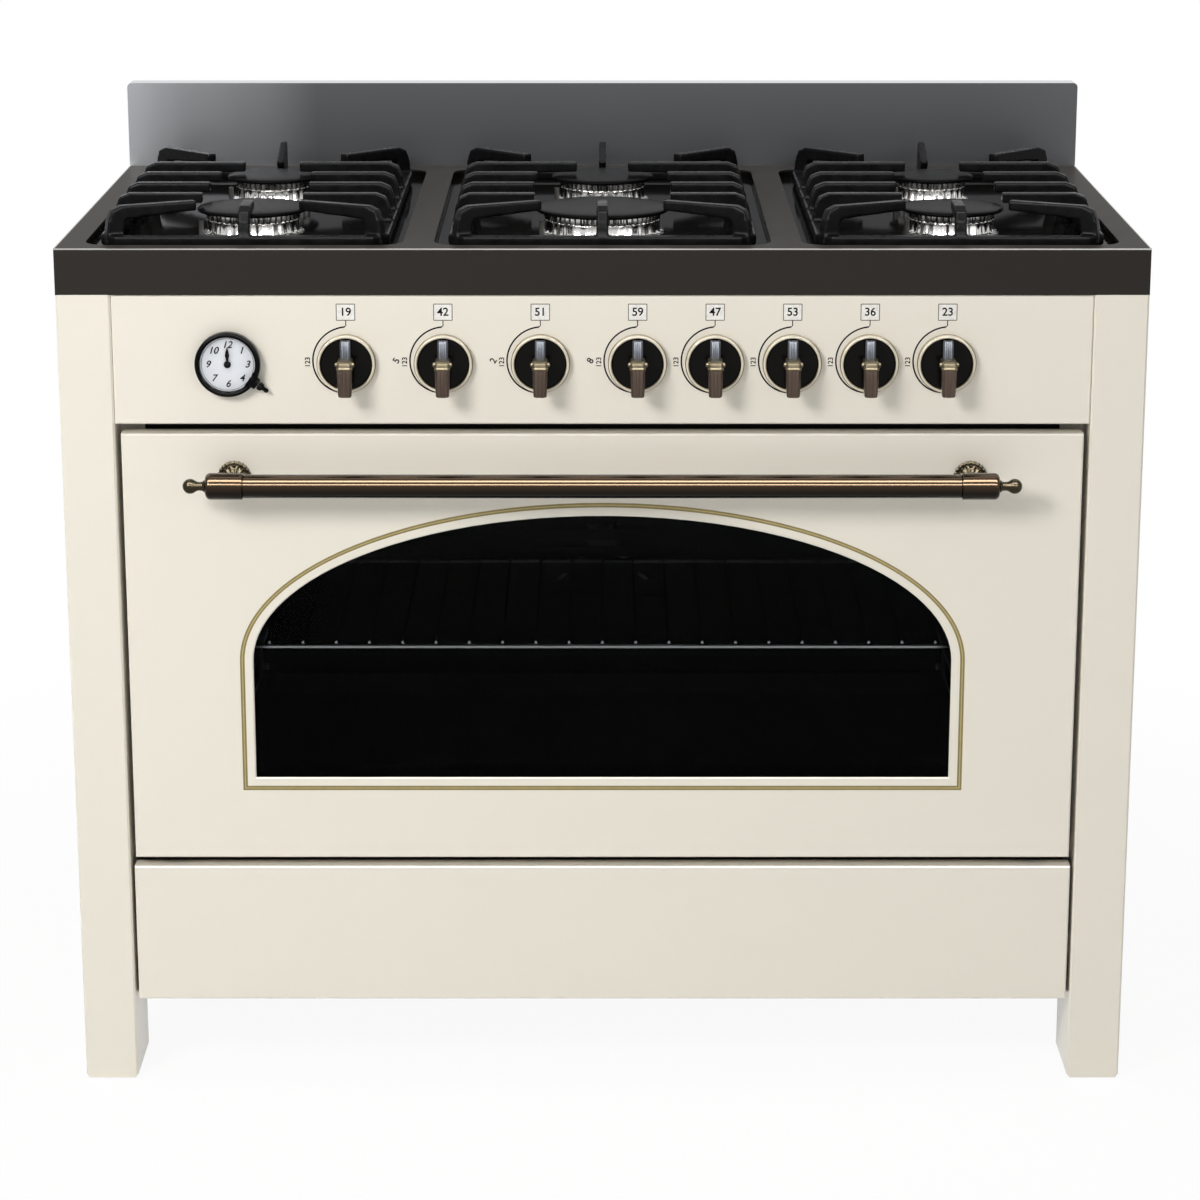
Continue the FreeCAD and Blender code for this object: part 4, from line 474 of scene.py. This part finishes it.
NODE_LOOKS = {
    CREAM: [
        "corner_posts", "side_panels", "control_panel", "door_outer_panel", "drawer_front",
        "drawer_box",
    ],
    HOB: ["hob_top"],
    TRAY: ["hob_trays"],
    SPLASH: ["splashback"],
    IRON: ["grate_left", "grate_centre", "grate_right"],
    CERAMIC: ["igniters"],
    CROWN: ["burner_cups"],
    ZINC: [
        "back_panel", "base_panel", "drawer_rails", "hinge_mounts", "door_hinge_arms",
        "levelling_feet",
    ],
    STEEL: ["tap_spindle_%d" % (n + 1) for n in range(KNOB_COUNT - OVEN_KNOBS)],
    RAIL: ["gas_rail"],
    CONTROL: ["oven_controls", "fan_motor"],
    TERMINAL: ["terminal_box"],
    OVEN: ["oven_cavity", "baking_tray", "fan_cover"],
    FRAME: ["oven_front_frame"],
    SEAL: ["door_seal"],
    WOOL: ["insulation"],
    ELEMENT: ["heating_elements", "fan_blade"],
    WIRE: ["oven_rack"],
    DULL_WIRE: ["rack_runners"],
    INNER: ["door_inner_frame"],
    WINDOW: ["door_outer_glass"],
    CLEAR: ["door_inner_glass"],
    CRYSTAL: ["clock_glass"],
}
# Width of the rounded edges, in millimetres.
SOFT_EDGES = {
    "corner_posts": 1.2, "side_panels": 0.8, "control_panel": 0.8, "door_outer_panel": 0.8,
    "drawer_front": 0.8, "drawer_box": 0.4, "hob_top": 0.8, "hob_trays": 0.6, "splashback": 0.7,
    "terminal_box": 1.0, "back_panel": 0.3, "baking_tray": 0.4, "fan_cover": 0.6,
    "door_inner_frame": 0.6, "oven_front_frame": 0.5, "door_hinge_arms": 0.4,
}
GRATE_GRAIN = 1.6
GRATE_PASSES = 3


def dress_nodes():
    for look, names in NODE_LOOKS.items():
        for name in names:
            mesh = frame["nodes"][name].data
            mesh.materials.clear()
            mesh.materials.append(look)
    for name, width in SOFT_EDGES.items():
        soften(name, width)
    for name in NODE_LOOKS[IRON]:
        cast(name, GRATE_GRAIN, GRATE_PASSES)


# ---- Burners ----------------------------------------------------------------------------------
# Each is (x, distance behind the posts' faces, radius of the crown), in millimetres.
BURNER_SPOTS = [
    (-363, 140, 48), (-363, 362, 40), (0, 140, 60), (0, 362, 46), (363, 140, 44), (363, 362, 36)
]
POST_FACE_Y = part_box("corner_posts")[0].y
CROWN_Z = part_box("burner_crowns")[0].z
CAP_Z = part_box("burner_caps")[0].z
CAP_OVERHANG = 9.6
SLOT_PITCH = 6.5
FLUTES = 24


def burners():
    """Polished crowns with fine slots at the top, under wide black caps."""
    crowns, caps = bmesh.new(), bmesh.new()
    for x, depth, radius in BURNER_SPOTS:
        spot = Vector((x * MM, POST_FACE_Y + depth * MM, 0))
        slots = round(2 * math.pi * radius / SLOT_PITCH)
        base = spot + Z * CROWN_Z
        add_turned(
            crowns, [(radius + 3.5, 0), (radius + 3.5, 1.2), (radius + 0.8, 2.2),
                     (radius, 4.0), (radius - 0.4, 13.0), (radius + 0.6, 14.0)],
            base, Z, 8 * FLUTES, 0, FLUTES, 1.0,
        )
        add_turned(
            crowns, [(radius + 0.4, 13.8), (radius + 0.4, 20.6), (radius - 2, 21.9)],
            base, Z, 8 * slots, 0, slots, 1.8,
        )
        rim = radius + CAP_OVERHANG
        profile = [(radius - 1, 0.0), (rim - 2.0, 0.0)]
        profile += rounding(1.9, -75, 80, (rim - 1.9, 2.0), 7)
        profile += [(rim - 7, 4.6), (rim * 0.6, 5.0), (rim * 0.3, 5.2), (0, 5.3)]
        add_turned(caps, profile, spot + Z * CAP_Z, Z, 96)
    piece("burner_crown_rings", crowns, [CROWN], "carcass", ["burner_crowns"])
    piece("burner_cap_discs", caps, [CAP], "carcass", ["burner_caps"])


HOB_EDGE_WIDTH = 1.2 * MM
HOB_EDGE_BACK = 30 * MM


def hob_edge_highlight():
    """Painted highlight: a pale strip where the worktop folds down at the front and sides,
    standing for the light on that edge.
    """
    form = bmesh.new()
    low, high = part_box("hob_top")
    wide, proud = HOB_EDGE_WIDTH, 0.1 * MM
    z0, z1 = high.z - wide, high.z + proud
    add_box(form, (low.x, low.y - proud, z0), (high.x, low.y + wide, z1))
    for x0, x1 in ((low.x - proud, low.x + wide), (high.x - wide, high.x + proud)):
        add_box(form, (x0, low.y, z0), (x1, high.y - HOB_EDGE_BACK, z1))
    piece("hob_edge_highlight", form, [EDGE_HIGHLIGHT], "carcass")


# ---- Control panel ----------------------------------------------------------------------------
def bezels():
    """Narrow cream ring between two fine gilt lines, round a sunk black disc."""
    rings, lines, discs = bmesh.new(), bmesh.new(), bmesh.new()
    for knob in KNOBS:
        base = Vector((knob.x, PANEL_Y, knob.z))
        profile = [(29.4, 0), (29.2, 4.6)] + rounding(1.3, 0, 180, (27.8, 6.4), 8)
        profile += [(26.5, 4.0), (26.4, 2.0)]
        add_turned(rings, profile, base, FRONT, 96)
        add_turned(
            lines, [(29.3, 0.2), (29.9, 0.2), (29.9, 4.4), (29.2, 4.9)], base, FRONT, 96,
            closed=True,
        )
        add_turned(
            lines, [(26.2, 3.8), (26.2, 6.0), (26.6, 6.7), (26.9, 6.4), (26.9, 3.8)],
            base, FRONT, 96, closed=True,
        )
        add_turned(
            discs, [(26.4, 1.6), (26.3, 3.4), (25.2, 4.2), (19.0, 4.45), (10, 4.6), (4.2, 4.6),
                    (4.0, 3.0)],
            base, FRONT, 96,
        )
    piece("bezel_rings", rings, [CREAM_RING], "carcass", ["bezels"])
    piece("bezel_lines", lines, [RING_LINE], "carcass")
    piece("bezel_discs", discs, [DISC], "carcass")


LEVER, COLLAR, POINTER = range(3)
GROOVE = 0.45
PIN_FORWARD = 26.0
PIN_UP = 3.5
PIN_SIDE = 7.0


def lever_section(knob, width, up, back, front, grooves):
    """Section across a lever: chamfered front corners and fine lengthwise grooves."""
    half = width / 2
    chamfer = min(2.4, half * 0.35)
    shape = [(-half, back), (half, back), (half, front - chamfer), (half - chamfer, front)]
    flat = 2 * (half - chamfer)
    for n in range(grooves):
        middle = half - chamfer - flat * (n + 1) / (grooves + 1)
        shape += [(middle + GROOVE, front), (middle, front - GROOVE), (middle - GROOVE, front)]
    shape += [(chamfer - half, front), (-half, front - chamfer)]
    return [
        Vector((knob.x + across * MM, PANEL_Y - proud * MM, knob.z + up * MM))
        for across, proud in shape
    ]


def lever_knob(index, knob):
    """Bronze lever under a brass collar, with a chromed pointer above and a cross pin."""
    form = bmesh.new()

    def bar(stations, grooves, look):
        add_rings(form, [
            lever_section(knob, width, up, back, front, grooves)
            for width, up, back, front in stations
        ], look)

    bar([
        (14.2, 2.0, 22.0, 33.6), (15.0, 0.0, 22.0, 34.0), (14.6, -8.0, 22.0, 34.0),
        (13.4, -25.0, 22.2, 33.8), (13.0, -28.2, 22.4, 33.4), (11.4, -29.0, 23.2, 32.4),
    ], 2, LEVER)
    bar([
        (14.6, -1.6, 11.0, 33.0), (16.2, -1.0, 10.2, 34.6), (16.2, 0.8, 10.2, 34.9),
        (15.2, 1.6, 10.2, 34.2), (15.2, 5.2, 10.2, 33.8), (14.2, 7.0, 10.2, 31.5),
        (12.4, 8.0, 11.0, 29.0),
    ], 0, COLLAR)
    bar([
        (10.5, 6.0, 10.0, 18.0), (10.5, 23.5, 10.0, 17.0), (9.9, 25.0, 10.4, 16.2),
        (9.0, 25.5, 11.0, 15.0),
    ], 3, POINTER)
    middle = Vector((knob.x, PANEL_Y - PIN_FORWARD * MM, knob.z + PIN_UP * MM))
    for side in (X, -X):
        add_turned(
            form, [(2.7, 0), (2.7, 1.2), (2.2, 2.4), (1.2, 3.0), (0, 3.2)],
            middle + side * (PIN_SIDE * MM), side, 24, COLLAR,
        )
    name = "knob_%d" % index
    piece("lever_" + name, form, [BRONZE, BRASS, CHROME], name, [name], 0.35)


def strip(form, points, width, y, look=0):
    """Flat printed line through points given as (x, z) in metres, facing the front."""
    half = width * MM / 2
    last = len(points) - 1
    sides = []
    for n, (x, z) in enumerate(points):
        before, after = points[max(n - 1, 0)], points[min(n + 1, last)]
        along = Vector((after[0] - before[0], after[1] - before[1])).normalized()
        sides.append((
            form.verts.new((x - along.y * half, y, z + along.x * half)),
            form.verts.new((x + along.y * half, y, z - along.x * half)),
        ))
    for (a, b), (c, d) in zip(sides, sides[1:]):
        face = form.faces.new((a, b, d, c))
        face.material_index = look


def round_point(centre, reach, turn):
    """Place (x, z) at a distance and an angle from a centre."""
    return centre.x + reach * math.cos(turn), centre.z + reach * math.sin(turn)


PRINT_Y = PANEL_Y - 0.08 * MM
FILL_Y = PRINT_Y + 0.03 * MM
PRINT_INK, PRINT_BORDER, PRINT_FILL = range(3)
MARKS = ["19", "42", "51", "59", "47", "53", "36", "23"]
SIDE_MARKS = {2: "5", 3: "2", 4: "8"}
BOX_HALF = 9.3 * MM
BOX_LOW = 44.0 * MM
BOX_TOP = 60.6 * MM
ARC_R_START = 37.2 * MM
ARC_R_END = 30.6 * MM
ARC_START = math.radians(92)
ARC_SWEEP = math.radians(168)
ARC_STEPS = 48
BOLD = 0.018  # how far a printed figure's outline grows, as a share of its height


def mark_box(form, x, low, top):
    """White box with a thin border."""
    strip(form, [(x, low), (x, top)], 2 * BOX_HALF / MM, FILL_Y, PRINT_FILL)
    left, right = x - BOX_HALF, x + BOX_HALF
    corners = [(left, low), (left, top), (right, top), (right, low), (left, low)]
    for ends in zip(corners, corners[1:]):
        strip(form, ends, 0.9, PRINT_Y, PRINT_BORDER)


def printed_marks():
    """Numbered box over each knob, with a stem and an arc that starts under it."""
    lines = bmesh.new()
    for mark, knob in zip(MARKS, KNOBS):
        low, foot = knob.z + BOX_LOW, knob.z + ARC_R_START
        mark_box(lines, knob.x, low, knob.z + BOX_TOP)
        stem = [(knob.x, low), (knob.x, foot + 1.4 * MM), (knob.x - 1.5 * MM, foot)]
        strip(lines, stem, 1.0, PRINT_Y, PRINT_INK)
        arc = []
        for n in range(ARC_STEPS + 1):
            share = n / ARC_STEPS
            reach = ARC_R_START + (ARC_R_END - ARC_R_START) * share
            arc.append(round_point(knob, reach, ARC_START + ARC_SWEEP * share))
        strip(lines, arc, 1.6, PRINT_Y, PRINT_INK)
        printed_number("mark_" + mark, mark, (knob.x, knob.z + 52.3 * MM), 11.6)
    for n, knob in enumerate(KNOBS, 1):
        beside = (knob.x - 39.0 * MM, knob.z + 1.0 * MM)
        printed_number("side_%d" % n, "123", beside, 7.2, math.radians(90))
        if n in SIDE_MARKS:
            beyond = (knob.x - 47.5 * MM, knob.z + 2.5 * MM)
            printed_number("far_%d" % n, SIDE_MARKS[n], beyond, 9.5, math.radians(60))
    piece("printed_lines", lines, [INK, INK_BROWN, BOX_WHITE], "carcass")


def printed_number(name, text, place, height, turn=0.0, y=PRINT_Y, slant=0.0):
    """Plain number facing the front. The place is its middle as (x, z)."""
    curve = bpy.data.curves.new(name, "FONT")
    curve.body = text
    curve.size = height * MM
    curve.shear = slant
    curve.align_x = "CENTER"
    curve.align_y = "CENTER"
    curve.offset = height * BOLD * MM
    curve.materials.append(INK)
    thing = bpy.data.objects.new(name, curve)
    bpy.context.scene.collection.objects.link(thing)
    upright = Matrix.Rotation(math.pi / 2, 4, "X")
    thing.matrix_world = (
        Matrix.Translation((place[0], y, place[1])) @ Matrix.Rotation(-turn, 4, "Y") @ upright
    )
    settle(thing, "carcass")


# ---- Clock ------------------------------------------------------------------------------------
CLOCK_NUMBERS = ["12", "1", "3", "4", "6", "7", "9", "10"]
CLOCK_BASE = Vector((CLOCK.x, PANEL_Y, CLOCK.z))
SETTER_START = CLOCK_BASE + FRONT * (6.0 * MM)
FACE_Y = PANEL_Y - 6.35 * MM
TRACK_R = 26.4 * MM
TRACK_STEPS = 72
NUMBER_R = 20.0 * MM
# One side of the hand's leaf, from its tip down, as (half width, height) in millimetres.
LEAF = [(0.9, 15), (2.2, 9.5), (1.2, 5), (0.7, 0)]
LEAF_TIP = (0, 18)


def clock_case():
    """Black case, with the neck that the setting knob turns in."""
    form = bmesh.new()
    profile = [(32.0, 0), (32.9, 1.5), (33.0, 8.0)] + rounding(2.5, 0, 165, (30.5, 9.4), 8)
    profile += [(27.9, 8.5), (27.7, 5.6)]
    add_turned(form, profile, CLOCK_BASE, FRONT, 96)
    add_turned(
        form, [(9.0, 26), (8.6, 29), (7.2, 31), (6.2, 32.5), (6.0, 35.4), (5.2, 36.2)],
        SETTER_START, SETTER_AXIS, 32,
    )
    piece("clock_case", form, [CLOCK_BLACK], "carcass")


def clock_face():
    """Pale dial with a printed track and numbers."""
    dial = bmesh.new()
    add_turned(dial, [(27.8, 4.8), (27.8, 6.05), (0, 6.1)], CLOCK_BASE, FRONT, 96)
    piece("clock_dial", dial, [DIAL], "carcass")
    track = bmesh.new()
    ring = [
        round_point(CLOCK_BASE, TRACK_R, 2 * math.pi * n / TRACK_STEPS)
        for n in range(TRACK_STEPS + 1)
    ]
    strip(track, ring, 0.35, FACE_Y)
    piece("clock_track", track, [INK], "carcass")
    for n, text in enumerate(CLOCK_NUMBERS):
        turn = math.radians(90 - 360 * n / len(CLOCK_NUMBERS))
        place = round_point(CLOCK_BASE, NUMBER_R, turn)
        printed_number("clock_%d" % n, text, place, 10.0, 0.0, FACE_Y, 0.3)


def clock_pointer():
    """Leaf-shaped hand on a domed hub."""
    form = bmesh.new()
    outline = [(-across, up) for across, up in reversed(LEAF)] + [LEAF_TIP] + LEAF
    y0, y1 = CLOCK.y + 0.2 * MM, CLOCK.y - 0.8 * MM
    add_rings(form, [
        [Vector((CLOCK.x + across * MM, y, CLOCK.z + up * MM)) for across, up in outline]
        for y in (y0, y1)
    ])
    hub = Vector((CLOCK.x, y0, CLOCK.z))
    add_turned(form, [(3.6, 0), (3.6, 1.0), (2.6, 1.5), (0, 1.6)], hub, FRONT, 32)
    piece("clock_pointer", form, [CLOCK_BLACK], "clock_hand", ["clock_hand"], 0.1)


def setting_crown():
    """Fluted knob with a pointed end, on a thin stem."""
    form = bmesh.new()
    add_turned(form, [(2.0, 31.2), (2.0, 36.4)], SETTER_START, SETTER_AXIS, 24)
    add_turned(
        form, [(2.4, 36.9), (4.0, 37.4), (4.2, 39), (4.0, 41.5), (2.6, 42.6), (1.9, 44.2),
               (2.4, 46), (2.2, 48), (1.2, 49), (0, 49.2)],
        SETTER_START, SETTER_AXIS, 48, 0, 12, 0.5,
    )
    piece("setting_crown", form, [CLOCK_BLACK], "clock_setter", ["clock_setter"])


# ---- Door -------------------------------------------------------------------------------------
WINDOW_HALF = 360.5
WINDOW_LOW = 338.0
SPRING = 464.0
ARCH_RISE = 155.0
ARCH_STEPS = 96


def window_path(grow, y):
    """Points round the arched window, larger by this many millimetres."""
    half, low, rise = WINDOW_HALF + grow, WINDOW_LOW - grow, ARCH_RISE + grow
    points = [(-half, low), (half, low)]
    for n in range(ARCH_STEPS + 1):
        turn = math.pi * n / ARCH_STEPS
        points.append((half * math.cos(turn), SPRING + rise * math.sin(turn)))
    return [Vector((a * MM, y, b * MM)) for a, b in points]


def band(form, inner, outer, y, look=0):
    """Flat line round the window between two sizes of its outline."""
    a = [form.verts.new(p) for p in window_path(inner, y)]
    b = [form.verts.new(p) for p in window_path(outer, y)]
    for n in range(len(a)):
        m = (n + 1) % len(a)
        face = form.faces.new((a[n], a[m], b[m], b[n]))
        face.material_index = look


def window_lines():
    """Gilt double line in the groove round the window."""
    form = bmesh.new()
    y = DOOR_Y + 0.38 * MM
    band(form, 9.1, 13.9, y)
    band(form, 10.9, 12.1, y - 0.15 * MM, 1)
    piece("window_lines", form, [GILT, PALE_GILT], "door")


# ---- Door handle ------------------------------------------------------------------------------
BAR_LOW, BAR_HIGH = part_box("handle_bar")
HANDLE_MIDDLE = (BAR_LOW + BAR_HIGH) / 2
BAR_HALF = (BAR_HIGH.x - BAR_LOW.x) / 2
BALL_R = 7.65
BALL_AT = 53.2
FOOT_AT = 12.5
BEADS = 16
BEAD_RING_R = 12.6


def handle():
    """Round bar in two sleeves with ball finials, on two posts with rosettes."""
    bar = bmesh.new()
    length = 2 * BAR_HALF / MM
    start = Vector((-BAR_HALF, HANDLE_MIDDLE.y, HANDLE_MIDDLE.z))
    add_turned(
        bar, [(11.0, 0.2), (12.0, 0.8), (12.0, length - 0.8), (11.0, length - 0.2)], start, X, 72
    )
    piece("handle_bar_round", bar, [HANDLE], "door", ["handle_bar"])
    sleeves, ends, posts = bmesh.new(), bmesh.new(), bmesh.new()
    for side in (X, -X):
        root = Vector((0, HANDLE_MIDDLE.y, HANDLE_MIDDLE.z)) + side * BAR_HALF
        profile = [(11.5, -0.1), (13.2, 0.2), (13.5, 0.8), (13.5, 32.5)]
        profile += rounding(5.0, 0, 80, (8.5, 32.8), 8) + [(6.5, 38.0), (5.4, 38.3)]
        add_turned(sleeves, profile, root, side, 72)
        finial = [(5.4, 37.5), (6.3, 38.6), (5.9, 39.6), (4.7, 41.0), (4.3, 44.0), (4.9, 46.8),
                  (5.6, 47.6)]
        finial += rounding(BALL_R, -42, 90, (0, BALL_AT), 11)
        add_turned(ends, finial, root, side, 48)
        foot = root + side * (FOOT_AT * MM)
        foot.y = DOOR_Y
        reach = (DOOR_Y - HANDLE_MIDDLE.y) / MM
        add_turned(posts, [(6.5, 3.0), (6.2, 20.0), (6.5, reach - 12.0)], foot, FRONT, 48)
        rosette(posts, foot)
    piece("handle_sleeves", sleeves, [HANDLE], "door", ["handle_ends"])
    piece("handle_finials", ends, [HANDLE_CAST], "door")
    piece("handle_feet", posts, [HANDLE_CAST], "door", ["handle_posts"])


def rosette(form, foot):
    """Domed base with a roped rim, petals and a ring of beads."""
    add_turned(form, [(16.2, 0), (17.4, 0.8), (17.4, 2.4), (16.2, 3.2), (14.6, 3.4)],
               foot, FRONT, 192, 0, 24, 0.7)
    add_turned(form, [(15.2, 2.8), (13.6, 5.2), (10.5, 7.0), (8.0, 8.2), (6.6, 9.6)],
               foot, FRONT, 192, 0, 12, 1.6)
    for n in range(BEADS):
        turn = 2 * math.pi * n / BEADS
        spot = foot + BEAD_RING_R * MM * (X * math.cos(turn) + Z * math.sin(turn))
        add_turned(form, [(1.3, 4.2), (1.5, 5.4), (1.1, 6.4), (0, 6.8)], spot, FRONT, 12)


# ---- Back and small fasteners -----------------------------------------------------------------
SCREW_INSET = 0.012
SCREW_COLUMNS = [x * MM for x in range(-470, 471, 188)]
SCREW_ROWS = [0.25, 0.4, 0.55, 0.7]


def screws():
    """Pan-head screws with a cross recess, round the edges of the back panel."""
    form = bmesh.new()
    low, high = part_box("back_panel")
    edge_rows = (low.z + SCREW_INSET, high.z - SCREW_INSET)
    edge_columns = (low.x + SCREW_INSET, high.x - SCREW_INSET)
    spots = [(x, z) for x in SCREW_COLUMNS for z in edge_rows]
    spots += [(x, z) for x in edge_columns for z in SCREW_ROWS]
    for x, z in spots:
        spot = Vector((x, high.y, z))
        add_turned(form, [(3.6, 0), (3.6, 0.8), (3.0, 1.7), (1.8, 2.2), (0, 2.3)], spot, Y, 24)
        for a, b in ((1.7, 0.35), (0.35, 1.7)):
            add_box(
                form, (x - a * MM, high.y + 2.2 * MM, z - b * MM),
                (x + a * MM, high.y + 2.35 * MM, z + b * MM), 1,
            )
    piece("back_screws", form, [ZINC, INK], "carcass")


# ---- Studio -----------------------------------------------------------------------------------
CAMERA_DISTANCE = 3.374
CAMERA_HEIGHT = 1.4695
CAMERA_PITCH = 14.55
CAMERA_LENS = 102.2
CAMERA_SHIFT = (-0.002, -0.05)
WORLD_LEVEL = 0.36
FLOOR_WHITE = 0.92
FLOOR_REACH = 8.0
FLOOR_FADE = (0.7, 1.5)
# Each lamp is (name, place, point that it faces, size, watts).
LAMPS = [
    ("key", (-1.75, -2.6, 2.3), (0, -0.1, 0.5), (1.0, 0.9), 64),
    ("fill", (2.6, -2.4, 1.4), (0, 0, 0.5), (1.8, 1.8), 10),
    ("top", (0, 0.2, 3.0), (0, 0, 0.9), (2.0, 1.2), 12),
]
# Each strip lamp is (name, degrees above the handle, width, watts).
STREAKS = [("handle_streak_high", 62, 0.44, 130), ("handle_streak_low", 29, 0.20, 70)]
STREAK_DISTANCE = 1.7
STREAK_LENGTH = 3.4


def camera():
    data = bpy.data.cameras.new("camera")
    data.lens = CAMERA_LENS
    data.sensor_width = 36.0
    data.shift_x, data.shift_y = CAMERA_SHIFT
    thing = bpy.data.objects.new("camera", data)
    thing.location = (0, DOOR_Y - CAMERA_DISTANCE, CAMERA_HEIGHT)
    thing.rotation_euler = (math.radians(90 - CAMERA_PITCH), 0, 0)
    bpy.context.scene.collection.objects.link(thing)
    bpy.context.scene.camera = thing


def light(name, place, aim, size, power, gloss_only=False):
    """Area lamp. One that is gloss only shows in shiny surfaces and lights nothing else."""
    data = bpy.data.lights.new(name, "AREA")
    data.shape = "RECTANGLE"
    data.size, data.size_y = size
    data.energy = power
    thing = bpy.data.objects.new(name, data)
    thing.location = place
    thing.rotation_euler = (Vector(aim) - Vector(place)).to_track_quat("-Z", "Y").to_euler()
    thing.visible_diffuse = thing.visible_transmission = not gloss_only
    bpy.context.scene.collection.objects.link(thing)


def seen_directly(nodes, links):
    """1 for rays that should meet the plain white studio: camera, glossy and transmission."""
    path = nodes.new("ShaderNodeLightPath")
    total = path.outputs["Is Camera Ray"]
    for kind in ("Is Glossy Ray", "Is Transmission Ray"):
        most = nodes.new("ShaderNodeMath")
        most.operation = "MAXIMUM"
        links.new(total, most.inputs[0])
        links.new(path.outputs[kind], most.inputs[1])
        total = most.outputs[0]
    return total


def streak(name, elevation, width, power):
    """Long strip lamp whose mirror image draws one bright line along the handle."""
    turn = math.radians(elevation)
    place = HANDLE_MIDDLE + STREAK_DISTANCE * (FRONT * math.cos(turn) + Z * math.sin(turn))
    light(name, place, HANDLE_MIDDLE, (STREAK_LENGTH, width), power, gloss_only=True)


def studio():
    world = bpy.data.worlds.new("studio")
    bpy.context.scene.world = world
    world.use_nodes = True
    nodes, links = world.node_tree.nodes, world.node_tree.links
    background = nodes["Background"]
    background.inputs["Color"].default_value = (1, 1, 1, 1)
    level = nodes.new("ShaderNodeMapRange")
    level.inputs["To Min"].default_value = WORLD_LEVEL
    level.inputs["To Max"].default_value = 1.0
    links.new(seen_directly(nodes, links), level.inputs["Value"])
    links.new(level.outputs["Result"], background.inputs["Strength"])

    for lamp in LAMPS:
        light(*lamp)
    for lamp in STREAKS:
        streak(*lamp)
    white_floor()


def white_floor():
    """Pale floor that keeps the shadow near the cooker and fades into the white beyond."""
    mesh = bpy.data.meshes.new("floor")
    reach = FLOOR_REACH
    mesh.from_pydata(
        [(-reach, -reach, 0), (reach, -reach, 0), (reach, reach, 0), (-reach, reach, 0)],
        [], [(0, 1, 2, 3)],
    )
    floor = bpy.data.objects.new("floor", mesh)
    bpy.context.scene.collection.objects.link(floor)
    look = Look("floor", (1.0, 1.0, 1.0), 0.9, specular=0.0)
    nodes, links = look.nodes, look.links
    place = nodes.new("ShaderNodeTexCoord")
    far = nodes.new("ShaderNodeVectorMath")
    far.operation = "LENGTH"
    links.new(place.outputs["Object"], far.inputs[0])
    share = look.mapped(far.outputs["Value"], *FLOOR_FADE, FLOOR_WHITE, 1.0)
    glow = nodes.new("ShaderNodeEmission")
    mix = nodes.new("ShaderNodeMixShader")
    links.new(look.maths("MULTIPLY", share, seen_directly(nodes, links)), mix.inputs[0])
    links.new(look.shader.outputs[0], mix.inputs[1])
    links.new(glow.outputs[0], mix.inputs[2])
    links.new(mix.outputs[0], nodes["Material Output"].inputs["Surface"])
    mesh.materials.append(look.material)


dress_nodes()
burners()
hob_edge_highlight()
bezels()
for index, knob in enumerate(KNOBS, 1):
    lever_knob(index, knob)
printed_marks()
clock_case()
clock_face()
clock_pointer()
setting_crown()
window_lines()
handle()
screws()
studio()
camera()
bpy.context.scene.view_settings.view_transform = "Standard"
